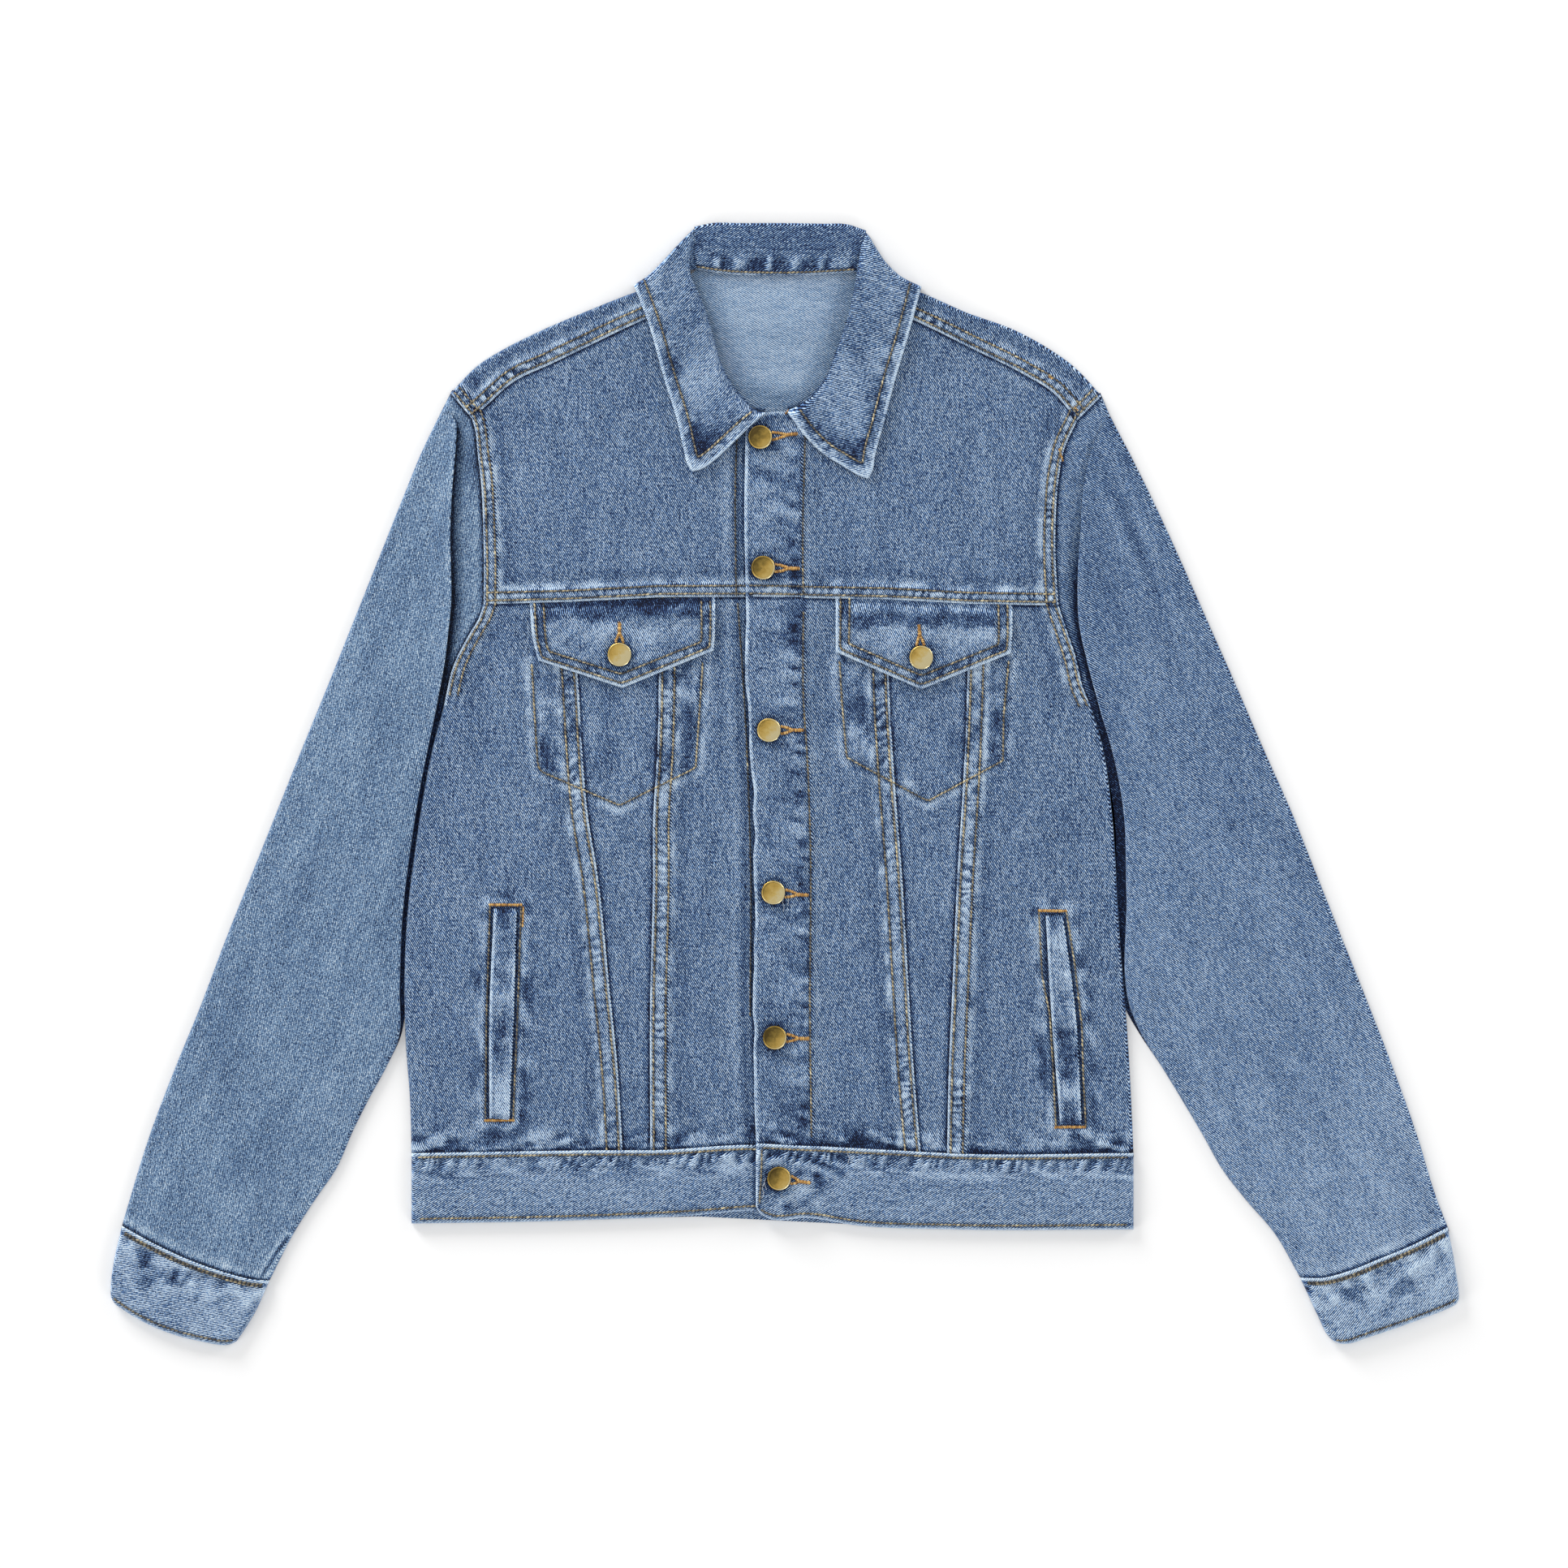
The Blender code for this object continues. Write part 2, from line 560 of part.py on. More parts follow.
def make_sleeve(side, materials):
    flat, level = sleeve_grid(side)
    rings = ring_grid(flat, level, CLOTH, CLOTH)
    return cloth_object("sleeve_" + side, [rings], materials["denim"], -SIDES[side], closed=True)


def make_cuff(side, materials):
    lines = LINES[side]
    columns = len(sleeve_top(side)) - 1
    seam = even(lines["cuff seam"], columns)
    end = even(lines["cuff end"], columns)
    outer = even(lines["cuff outer"], CUFF_STEPS)[::-1]
    inner = even(lines["cuff inner"], CUFF_STEPS)[::-1]
    flat = pull_in(coons(end, seam, outer, inner), above=SEAM_GAP / 2)
    hump = np.sin(np.pi * np.linspace(0, 1, columns + 1)) ** CUFF_HUMP_POWER
    level = np.tile(DOUBLE + 0.5 * LAY_GAP + SLEEVE_PUFF * hump, (len(flat), 1))
    rings = ring_grid(flat, level, DOUBLE, DOUBLE)
    return cloth_object("cuff_" + side, [rings], materials["denim_light"], -SIDES[side], closed=True)


# ---- Waistband ----
BAND_FRONT = DOUBLE + 0.0004  # inside of the band's front
TAB_RISE = DOUBLE + SEAM_GAP  # the tab lies on the other end of the band
TAB_END = (0.009, 0.026)  # across: past here the tab comes down to the band's own level
BAND_ROWS = 3
BACK_BAND_COLUMNS = 13
# Columns across its front, in millimetres
BAND_LEFT = (-20.3, -17, -12, 5, 9, 26, 48, 71, 94, 112, 155, 198)
BAND_RIGHT = (-215, -160, -112, -93, -60, -21, 8)


def line_height(rows, x):
    points = np.array(sorted(rows), float) * MM
    return np.interp(x, points[:, 0], points[:, 1])


def band_column(hem, waist, x, height):
    """One column of the band at x, from the hem to the waist seam."""
    low = line_height(hem, x)
    high = line_height(waist, x) - SEAM_GAP / 2
    return [(x, y, height, DOUBLE) for y in np.linspace(low, high, BAND_ROWS)]


def make_waistband(materials):
    """One strip from the tab at the left front, round the back, to the end under the tab."""
    left = LINES["left"]
    right = LINES["right"]
    back_hem = (*right["hem"][:3], *left["hem"][2:])
    back_waist = (right["waist"][0], left["waist"][-1])
    left_fold = left["waist"][-1][0] * MM - DOUBLE
    right_fold = right["waist"][0][0] * MM + DOUBLE
    near = 2 * FOLD_RADIUS
    fold_height = 0.5 * (BAND_FRONT + DOUBLE)
    columns = []
    for x in (*np.array(BAND_LEFT) * MM, left_fold - near):
        rise = TAB_RISE * (1 - ramp(x, *TAB_END))
        columns.append(band_column(left["hem"], left["waist"], x, BAND_FRONT + rise))
    columns.append(band_column(left["hem"], left["waist"], left_fold, fold_height))
    for x in np.linspace(left_fold - near, right_fold + near, BACK_BAND_COLUMNS):
        columns.append(band_column(back_hem, back_waist, x, DOUBLE))
    columns.append(band_column(right["hem"], right["waist"], right_fold, fold_height))
    for x in (right_fold + near, *np.array(BAND_RIGHT) * MM):
        columns.append(band_column(right["hem"], right["waist"], x, BAND_FRONT))
    grid = np.array(columns).transpose(1, 0, 2)
    return cloth_object("waistband", [grid], materials["denim_light"], 1)


# ---- What lies on the fronts ----
def make_flap(side, materials):
    lines = LINES[side]["flap"]
    bottom = chain(even(lines["low left"], 4), even(lines["low right"], 4))
    top = even(lines["top"], 8)
    flat = coons(bottom, top, even(lines["left"], 3), even(lines["right"], 3))
    flat = pull_in(flat, above=2 * SEAM_GAP)
    level = front_level(flat[..., 0], flat[..., 1]) + CLOTH + FELL + SEAM_GAP
    return cloth_object("pocket_flap_" + side, [with_walls(flat, level, DOUBLE)], materials["denim"], 1)


def make_welt(side, materials):
    lines = LINES[side]["welt"]
    left = even(lines["left"], 7)
    right = even(lines["right"], 7)
    flat = np.array([np.linspace(start, end, 3) for start, end in zip(left, right)])
    level = front_level(flat[..., 0], flat[..., 1]) + CLOTH + SEAM_GAP
    return cloth_object("welt_" + side, [with_walls(flat, level, DOUBLE)], materials["denim"], 1)


# ---- Collar ----
# Its sewn edge and its roll line, from the centre front to the back. Columns: across, up and
# height of the surface inside the fold, in millimetres
COLLAR = {
    "right": {
        "seam": ((-14, 257.3, 3.4), (-19.2, 257.4, 3.4), (-39.5, 266.8, 3.4), (-54.3, 283.7, 3.5),
                 (-64.4, 305, 4.5), (-72.1, 326, 5.8), (-71.7, 341, 5.9), (-71, 351.9, 4.7), (-62, 356.2, 3.2),
                 (-58.4, 356.4, 2.4)),
        "roll": ((-13, 259.5, 4.8), (-19, 260.8, 4.8), (-31, 270, 4.7), (-42, 287, 4.3), (-49.5, 311, 5.1),
                 (-57, 334, 6.6), (-65, 353, 6.9), (-65, 366, 5.2), (-61.5, 378, 3.4), (-58.5, 388.8, 2.3)),
    },
    "left": {
        "seam": ((2.5, 259.4, 3.4), (12.2, 260.7, 3.4), (22.2, 262.2, 3.4), (40.2, 278.9, 3.5), (51, 302.4, 4.4),
                 (58.2, 326, 5.8), (57.9, 340, 5.9), (57.2, 351.9, 4.7), (48.5, 356.2, 3.2),
                 (44.6, 356.4, 2.4)),
        "roll": ((1, 261, 4.8), (8, 263.5, 4.8), (16, 268, 4.5), (27, 280, 3.9), (36, 302, 4.6),
                 (44, 326, 6.6), (48.5, 347, 6.9), (51, 363, 5.2), (53, 376, 3.4), (54.0, 388.8, 2.3)),
    },
}
LEAF_GAP = 0.0004
LEAF_STEPS = 4
STAND_SHARES = (0.0, 0.45, 0.88, 1.0)  # rows of the stand, from its seam to the roll line
STAND_PUFF = (0.0, 0.0010, 0.0007, 0.0)  # how far they rise behind the neck
BACK_COLUMNS = 4
FALL_EDGE = ((-99, 340), (-50, 337), (-4, 336), (45, 337), (89, 340))  # its hidden edge, under the back
CORNER_LEVEL = 0.0034  # inside of the leaf at the corner where roll and turn meet
CORNER_REACH = 0.030
NEAR_SHARE = 0.2  # the seam's point for the column next to the turn


def near_line(grid, distance, axis=0, last=False):
    """The grid with one more row or column, this far inside its first or last one."""
    turned = grid if axis == 0 else grid.transpose(1, 0, 2)
    turned = turned[::-1] if last else turned
    way = turned[1] - turned[0]
    way = way / np.linalg.norm(way, axis=-1, keepdims=True)
    turned = np.concatenate([turned[:1], [turned[0] + distance * way], turned[1:]])
    turned = turned[::-1] if last else turned
    return turned if axis == 0 else turned.transpose(1, 0, 2)


def leaf_level(x, y):
    """The inside of a collar leaf where it lies on the front."""
    return front_level(x, y) + lap(x) + CLOTH + FELL + LEAF_GAP


def collar_leaf(side):
    """One leaf as seen from above: rows from the roll line to the free edge, columns from the
    centre front to the turn under the neck."""
    lines = LINES[side]
    roll = np.array(COLLAR[side]["roll"]) * MM
    edge = even(lines["leaf edge"], len(roll) - 1)
    front = smooth(lines["leaf front"], np.linspace(0, 1, LEAF_STEPS + 1))
    turn = even(lines["leaf turn"][::-1], LEAF_STEPS)
    front[0] = roll[0, :2]
    turn[0] = roll[-1, :2]
    flat = coons(roll[:, :2], edge, front, turn)
    flat = pull_in(flat, below=DOUBLE, right=DOUBLE)
    flat = near_line(flat, 2 * FOLD_RADIUS)
    flat = near_line(flat, 2 * FOLD_RADIUS, axis=1, last=True)
    level = leaf_level(flat[..., 0], flat[..., 1])
    corner = np.linalg.norm(flat - flat[0, -1], axis=-1)
    level = CORNER_LEVEL + (level - CORNER_LEVEL) * ramp(corner, 0.0, CORNER_REACH)
    level[0] = np.insert(roll[:, 2], -1, roll[-1, 2])
    level[1:, -1] = 0.5 * (level[1:, -1] + DOUBLE)
    return np.dstack([flat, level])


def collar_seam(side):
    """The sewn edge with a point for each column of the leaf."""
    seam = np.array(COLLAR[side]["seam"]) * MM
    near = seam[-1] + NEAR_SHARE * (seam[-2] - seam[-1])
    return np.insert(seam, -1, near, axis=0)


def make_collar(materials):
    """One strip that is sewn to the neck, rises to the roll line and falls outside. Behind the neck
    the fall lies under the back, and at the front its leaves lie on the fronts."""
    right = collar_leaf("right")
    left = collar_leaf("left")[:, ::-1]
    near = (0.0, 2 * FOLD_RADIUS)
    top = spread(right[0, -1], left[0, 0], near, near, BACK_COLUMNS)
    low = smooth(FALL_EDGE, shares_of(top))
    low[0] = right[-1, -1, :2]
    low[-1] = left[-1, 0, :2]
    fall = coons(top[:, :2], low, right[:, -1, :2], left[:, 0, :2])
    height = np.full(fall.shape[:2], DOUBLE)
    height[0] = top[:, 2]
    fall = np.dstack([fall, height])
    leaves = np.concatenate([right, fall[:, 1:-1], left], axis=1)
    seam_right = collar_seam("right")
    seam_left = collar_seam("left")[::-1]
    behind = seam_right[-1] + shares_of(top)[1:-1, None] * (seam_left[0] - seam_right[-1])
    seam = np.concatenate([seam_right, behind, seam_left])
    puff = np.zeros(len(seam))
    puff[len(seam_right): -len(seam_left)] = 1.0
    stand = [
        seam + share * (leaves[0] - seam) + puff[:, None] * [0, 0, rise]
        for share, rise in zip(STAND_SHARES[:-1], STAND_PUFF)
    ]
    strip = np.concatenate([stand, leaves])
    walls = np.full((*strip.shape[:2], 1), DOUBLE)
    return cloth_object("collar", [np.concatenate([strip, walls], axis=-1)], materials["denim"], 1)


# ---- Buttons ----
BUTTON_SIDES = 14
# The cap's profile from its middle to its rim. Columns: share of its radius, depth below its top
CAP_PROFILE = ((0.0, 0.0), (0.62, 0.0003), (0.90, 0.0008), (1.0, 0.0014))
CAP_UNDER = (0.95, 0.0002)  # the rim's lower edge: share of the radius, height above the shank


def make_button(name, x, y, seat, materials):
    """A domed cap with a rolled rim on a short shank, turned about its own axis."""
    cap = BUTTON_DIAMETER / 2
    shank = SHANK_DIAMETER / 2
    top = BUTTON_HEIGHT
    profile = [(share * cap, top - depth) for share, depth in CAP_PROFILE]
    profile.append((CAP_UNDER[0] * cap, SHANK_HEIGHT + CAP_UNDER[1]))
    profile += [(shank, SHANK_HEIGHT), (shank, 0.0), (0.0, 0.0)]
    mesh = bpy.data.meshes.new(name)
    edges = [(k, k + 1) for k in range(len(profile) - 1)]
    mesh.from_pydata([(r, 0.0, z) for r, z in profile], edges, [])
    mesh.materials.append(materials["brass"])
    button = bpy.data.objects.new(name, mesh)
    place_x = x * MM
    place_y = y * MM
    base = front_level(place_x, place_y)
    heights = {
        "placket": base + lap(place_x) + CLOTH + FELL,
        "flap": base + CLOTH + FELL + SEAM_GAP + DOUBLE,
        "tab": BAND_FRONT + TAB_RISE + DOUBLE,
    }
    button.location = (place_x, place_y, float(heights[seat]) + SEAM_GAP)
    turn = button.modifiers.new("Turn", "SCREW")
    turn.steps = BUTTON_SIDES
    turn.render_steps = BUTTON_SIDES
    turn.use_smooth_shade = True
    turn.use_merge_vertices = True
    turn.merge_threshold = 0.0001
    turn.use_normal_calculate = False
    return button


# ---- Scene ----
def make_material(name):
    colour, roughness, metallic = MATERIALS[name]
    material = bpy.data.materials.new(name)
    material.use_nodes = True
    shader = material.node_tree.nodes["Principled BSDF"]
    shader.inputs["Base Color"].default_value = (*colour, 1)
    shader.inputs["Roughness"].default_value = roughness
    shader.inputs["Metallic"].default_value = metallic
    return material


def main():
    for old in list(bpy.data.objects):
        bpy.data.objects.remove(old, do_unlink=True)
    jacket = bpy.data.collections.new("denim_jacket")
    bpy.context.scene.collection.children.link(jacket)
    materials = {name: make_material(name) for name in MATERIALS}
    pieces = []
    for side in SIDES:
        pieces += make_lower_fronts(side, materials)
        pieces.append(make_yoke(side, materials))
        pieces.append(make_sleeve(side, materials))
        pieces.append(make_cuff(side, materials))
        pieces.append(make_flap(side, materials))
        pieces.append(make_welt(side, materials))
    pieces.append(make_back(materials))
    pieces.append(make_waistband(materials))
    pieces.append(make_collar(materials))
    for row in BUTTONS:
        pieces.append(make_button(*row, materials))
    for piece in pieces:
        jacket.objects.link(piece)


main()
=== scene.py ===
# A denim jacket laid flat and face up: its cloth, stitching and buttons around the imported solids.
# Lengths are in millimetres until a mesh is made.
import math
import bpy
import numpy as np
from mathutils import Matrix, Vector
from mathutils.bvhtree import BVHTree


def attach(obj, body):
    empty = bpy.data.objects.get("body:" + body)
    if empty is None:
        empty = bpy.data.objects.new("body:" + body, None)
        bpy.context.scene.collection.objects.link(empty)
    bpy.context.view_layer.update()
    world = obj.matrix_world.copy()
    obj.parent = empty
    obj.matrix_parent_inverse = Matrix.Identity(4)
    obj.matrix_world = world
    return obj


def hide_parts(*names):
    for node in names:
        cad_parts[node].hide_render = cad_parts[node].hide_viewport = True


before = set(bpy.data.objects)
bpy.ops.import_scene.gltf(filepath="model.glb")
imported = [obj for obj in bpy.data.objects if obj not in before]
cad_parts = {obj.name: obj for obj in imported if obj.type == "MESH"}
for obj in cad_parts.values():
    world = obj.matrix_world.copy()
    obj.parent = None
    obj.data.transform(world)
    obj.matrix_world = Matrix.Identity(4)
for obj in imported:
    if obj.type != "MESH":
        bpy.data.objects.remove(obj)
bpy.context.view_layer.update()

mm = 0.001

# The seam lines and outlines, across and up, as the solids have them
seams = {
    "right": {
        "shoulder": ((-72, 351), (-102, 341.3), (-136, 328), (-171, 313), (-193, 302), (-211, 291),
                     (-231, 271)),
        "forward": ((-73, 331), (-101, 319.5), (-136, 303), (-161, 291), (-188, 278), (-205, 263),
                    (-216, 253)),
        "armhole": ((-216, 253), (-214, 246), (-212, 228), (-209.7, 208), (-208.3, 178), (-207.8, 156),
                    (-208, 125)),
        "underarm": ((-208, 125), (-211, 116), (-218, 104), (-229, 82), (-235, 57)),
        "side": ((-235, 57), (-243, 28), (-249, -2), (-255, -40), (-261, -90), (-263, -146),
                 (-262, -178), (-259, -218), (-258, -254)),
        "outer": ((-149, 126.3), (-143, 77), (-140, 28), (-136, -20), (-129, -63), (-121, -140),
                  (-115, -200), (-112, -252)),
        "inner": ((-87, 129.6), (-87, 77), (-88, 28), (-91, -26), (-91, -63), (-93, -149), (-93, -252)),
        "front": ((5, 130), (5, 60), (5, -60), (5, -160), (5, -247)),
        "yokeFront": ((5, 130), (5, 190), (4, 252)),
        "neck": ((4, 252), (-13, 256), (-26, 257), (-37, 263), (-52, 277), (-66, 306), (-73, 331)),
        "sleeveOuter": ((-238, 257), (-241, 251), (-252, 228), (-261, 206), (-279, 161), (-297, 116),
                        (-315, 71), (-333, 27), (-351, -18), (-369, -63), (-387, -108), (-404, -153),
                        (-422, -197), (-439, -242), (-453, -287), (-458, -304)),
        "sleeveInner": ((-240, 57), (-246, 28), (-252, -2), (-258, -40), (-264, -90), (-266, -140),
                        (-267, -176), (-275, -194), (-287, -216), (-298, -238), (-310, -265),
                        (-325, -287), (-339, -309), (-356, -342)),
        "crease": ((-238, 257), (-231, 256.5), (-227.4, 251), (-226.8, 238), (-228, 223), (-229.8, 200),
                   (-230.8, 172), (-230.3, 147), (-230.2, 127), (-232.2, 106), (-235.2, 82), (-239, 62),
                   (-240, 57)),
        "cuffTop": ((-458, -304), (-434, -317), (-410, -328), (-387, -336), (-368, -341), (-356, -342)),
        "cuffEnd": ((-465.6, -353.6), (-463, -358), (-457, -362.5), (-443, -371), (-421, -380),
                    (-400, -385), (-390, -386.8), (-384, -386.6), (-379, -384.4)),
        "cuffOuter": ((-465.6, -353.6), (-465.8, -348), (-464, -331), (-458, -304)),
        "cuffInner": ((-379, -384.4), (-375.6, -379.5), (-367, -366), (-356, -342)),
        "waist": ((-258, -254), (-112, -252), (-93, -252), (-21, -248.3), (8, -249.5)),
        "hem": ((-258, -303), (-153, -301), (-60, -297), (-21, -294), (10, -294)),
        "flapTop": ((-176, 123), (-112, 125), (-48, 127)),
        "flapStart": ((-170, 86), (-174, 101), (-176, 123)),
        "flapFinish": ((-49, 93), (-48, 110), (-48, 127)), "flapLow": ((-170, 86), (-112, 67), (-49, 93)),
        "weltStart": ((-204, -230), (-204, -158), (-201, -85)),
        "weltFinish": ((-190, -231), (-187, -158), (-185, -85)),
        "leafEdge": ((-64, 216.4), (-67.3, 221.5), (-69.5, 230), (-74, 250), (-83.5, 281), (-94, 318),
                     (-104.5, 345.5)),
        "leafFront": ((-13, 257), (-26, 245.3), (-40, 231.8), (-48, 224.6), (-58.5, 217.7), (-64, 216.4)),
        "leafTurn": ((-104.5, 345.5), (-95, 351.8), (-85, 361.3), (-75.3, 371.8), (-67.8, 379.6),
                     (-62.9, 384.2), (-59.5, 386.6)),
    },
    "left": {
        "shoulder": ((58, 351), (92, 341.3), (125, 327), (160, 314), (182, 302), (199, 290), (219, 269)),
        "forward": ((59, 334), (98, 316.7), (128, 302), (165, 283.6), (184, 272), (202, 252)),
        "armhole": ((202, 252), (193, 232), (189, 211), (187, 183), (187, 155), (189, 124)),
        "underarm": ((189, 124), (194, 109), (201, 88), (206, 67), (213, 51)),
        "side": ((213, 51), (219, 30), (223, 8), (226, -18), (231, -97), (237, -175), (239, -210),
                 (241, -254)),
        "outer": ((127, 125), (126, 77), (123, 1), (119, -63), (116, -131), (113, -200), (112, -254)),
        "inner": ((72, 128), (72, 75), (76, 1), (81, -63), (85, -131), (90, -209), (94, -253)),
        "front": ((-27, 130), (-26, 60), (-24, 20), (-22, -4), (-21, -60), (-22, -160), (-20, -247)),
        "yokeFront": ((-27, 130), (-28, 190), (-27, 249)),
        "neck": ((-27, 249), (-13, 257), (0, 258), (12, 258), (22, 261), (37, 271), (50, 295), (59, 334)),
        "sleeveOuter": ((224, 257), (227, 251), (239, 228), (250, 206), (271, 161), (291, 116),
                        (311, 71), (330, 27), (350, -18), (368, -63), (386, -108), (404, -153),
                        (421, -197), (437, -242), (451, -287), (458, -305)),
        "sleeveInner": ((218, 51), (225, 28), (231, 2), (234, -18), (236, -74), (240, -158),
                        (248, -175), (262, -197), (276, -220), (289, -242), (302, -265), (319, -287),
                        (338, -309), (356, -340)),
        "crease": ((224, 257), (213, 235), (206, 205), (204, 176), (202, 140), (203, 112), (209, 84),
                   (218, 51)),
        "cuffTop": ((458, -305), (434, -317), (410, -327), (390, -335), (371, -340), (356, -340)),
        "cuffEnd": ((465.8, -354.6), (464, -358.2), (458, -361.6), (442, -368), (420, -376),
                    (400, -382.6), (391, -385.6), (384.5, -386), (379, -384)),
        "cuffOuter": ((465.8, -354.6), (465.6, -350), (463, -331), (458, -305)),
        "cuffInner": ((379, -384), (375, -380), (369, -368), (356, -340)),
        "waist": ((-20, -247), (94, -253), (112, -254), (241, -254)),
        "hem": ((-20, -291), (-17, -296), (-12, -299), (16, -299), (48, -304), (116, -307), (241, -307)),
        "flapTop": ((157, 122), (96, 125), (35, 127)), "flapStart": ((156, 91), (157, 106), (157, 122)),
        "flapFinish": ((35, 92), (35, 110), (35, 127)), "flapLow": ((156, 91), (94, 66), (35, 92)),
        "weltStart": ((190, -234), (184, -160), (180, -90)),
        "weltFinish": ((205, -234), (201, -160), (192, -90)),
        "leafEdge": ((57.4, 211.4), (60, 215.5), (62.5, 228), (68.2, 249), (76.5, 280.6), (85, 309),
                     (94.5, 344.5)),
        "leafFront": ((1, 258.5), (13.2, 241.5), (25, 229.8), (40.7, 219.8), (52.5, 213), (57.4, 211.4)),
        "leafTurn": ((94.5, 344.5), (80, 351.8), (70, 361.3), (62.2, 372.9), (57.4, 380.6),
                     (53.5, 384.2)),
    },
}
ways = {"right": -1, "left": 1}  # which way each side lies across

# Thicknesses, and how the layers lie
layers = {
    "cloth": 1.2,
    "fell": 0.7,  # a felled seam over the cloth beside it
    "loft": 1.4,  # the fronts puff up from the back
    "lapRise": 2.2,  # the left front over the right one
    "tuck": 3,  # how far a piece goes in under its neighbour
    "step": 1.7,  # between points of the cloth
    "coarse": 4.0,  # between points of cloth that lies below
    "ground": 0.25,  # the lowest cloth above the floor
}


def soft(value, start, end):
    # 0 before start, 1 past end
    share = np.clip((value - start) / (end - start), 0, 1)
    return share * share * (3 - 2 * share)


def fade(value, start, end):
    # 1 before start, 0 past end
    return 1 - soft(value, start, end)


def bell(value, middle, width):
    return np.exp(-(((value - middle) / width) ** 2))


def unit(value):
    return np.clip(value, 0, 1)


def hard(value):
    # patches cut off flat where they are darkest and palest
    return np.clip(value, -1, 1)


def arch(share, power=1.0):
    # 0 at both ends and 1 in the middle
    return np.sin(np.pi * unit(share)) ** power


def roundOver(distance, radius):
    # how far a folded edge has dropped, from 0 inside to nearly 1 at its end
    share = 1 - unit(distance / radius)
    return 1 - np.sqrt(1 - share * share * 0.96)


def turned(x, y, turn):
    return x * math.cos(turn) + y * math.sin(turn), y * math.cos(turn) - x * math.sin(turn)


def backLevel(x, y):
    # inside of the back, which lies over the collar's fall below the neck
    return 1.2 + 2.3 * soft(y, 285, 332) * fade(np.abs(x + 5), 108, 160)


def frontLevel(x, y):
    puff = arch((np.abs(x) - 30) / 175, 0.7) * soft(y, -245, -190) * fade(y, 190, 240)
    return backLevel(x, y) + 0.6 + layers["loft"] * puff


def outerTop(x, y):
    return frontLevel(x, y) + layers["cloth"]


def lap(x):
    return layers["lapRise"] * soft(x, -55, -32) * fade(x, 8, 28)


def runOf(line):
    return np.concatenate([[0.0], np.cumsum(np.linalg.norm(np.diff(line, axis=0), axis=1))])


def fine(rows, steps=240):
    # a soft curve through the rows, in even steps
    points = np.array(rows, float)
    run = runOf(points)
    slopes = np.gradient(points, run, axis=0)
    wanted = run[-1] * np.linspace(0, 1, steps + 1)
    at = np.clip(np.searchsorted(run, wanted, "right") - 1, 0, len(run) - 2)
    span = (run[at + 1] - run[at])[:, None]
    f = (wanted - run[at])[:, None] / span
    start = (2 * f**3 - 3 * f**2 + 1) * points[at] + (f**3 - 2 * f**2 + f) * span * slopes[at]
    return start + (3 * f**2 - 2 * f**3) * points[at + 1] + (f**3 - f**2) * span * slopes[at + 1]


def joined(*lines):
    return np.concatenate([lines[0]] + [line[1:] for line in lines[1:]])


def along(line, shares):
    # points of a fine line at these shares of its length
    run = runOf(line)
    return np.stack([np.interp(run[-1] * shares, run, line[:, k]) for k in range(line.shape[1])], axis=1)


def lanes(length, first=(0.0,), last=(0.0,), step=layers["step"]):
    # shares across a piece: close lanes by its edges and even ones between
    end = [length - d for d in last][::-1]
    count = max(int(round((end[0] - first[-1]) / step)), 1)
    middle = np.linspace(first[-1], end[0], count + 1)[1:-1]
    return np.concatenate([first, middle, end]) / length


def sparse(length):
    return lanes(length, step=layers["coarse"])


def patch(across, up, low=None, high=None, start=None, finish=None):
    # the grid between four lines that meet at their ends, from low to high. A pair left out is straight
    if low is None:
        low, high = np.array([start[0], finish[0]]), np.array([start[-1], finish[-1]])
    if start is None:
        start, finish = np.array([low[0], high[0]]), np.array([low[-1], high[-1]])
    low, high, start, finish = along(low, across), along(high, across), along(start, up), along(finish, up)
    u, v = across[None, :, None], up[:, None, None]
    corners = (1 - v) * ((1 - u) * low[0] + u * low[-1]) + v * ((1 - u) * high[0] + u * high[-1])
    return (1 - v) * low + v * high + (1 - u) * start[:, None] + u * finish[:, None] - corners


def blotches(x, y, seed, wide, high, turn=0.0):
    # smooth seeded patches about wide by high, from -1 to 1
    many = (61, 67)
    table = np.random.default_rng(seed).uniform(-1, 1, many)
    u, v = turned(x, y, turn)
    u, v = u / wide + 1000.3, v / high + 1000.7
    i, j = np.floor(u).astype(int), np.floor(v).astype(int)
    f, g = soft(u - i, 0, 1), soft(v - j, 0, 1)
    i, j = i % many[0], j % many[1]
    k, m = (i + 1) % many[0], (j + 1) % many[1]
    return (table[i, j] * (1 - f) + table[k, j] * f) * (1 - g) + (table[i, m] * (1 - f) + table[k, m] * f) * g


def nearLine(x, y, line):
    # distance from a line, and how far along it the nearest point lies
    line = np.asarray(line, float)
    best, at = np.full(np.shape(x), 1e9), np.zeros(np.shape(x))
    for (ax, ay), (bx, by), start in zip(line[:-1], line[1:], runOf(line)):
        dx, dy = bx - ax, by - ay
        size = math.hypot(dx, dy)
        t = unit(((x - ax) * dx + (y - ay) * dy) / size**2)
        gap = np.hypot(x - ax - t * dx, y - ay - t * dy)
        nearer = gap < best
        best = np.where(nearer, gap, best)
        at = np.where(nearer, start + t * size, at)
    return best, at


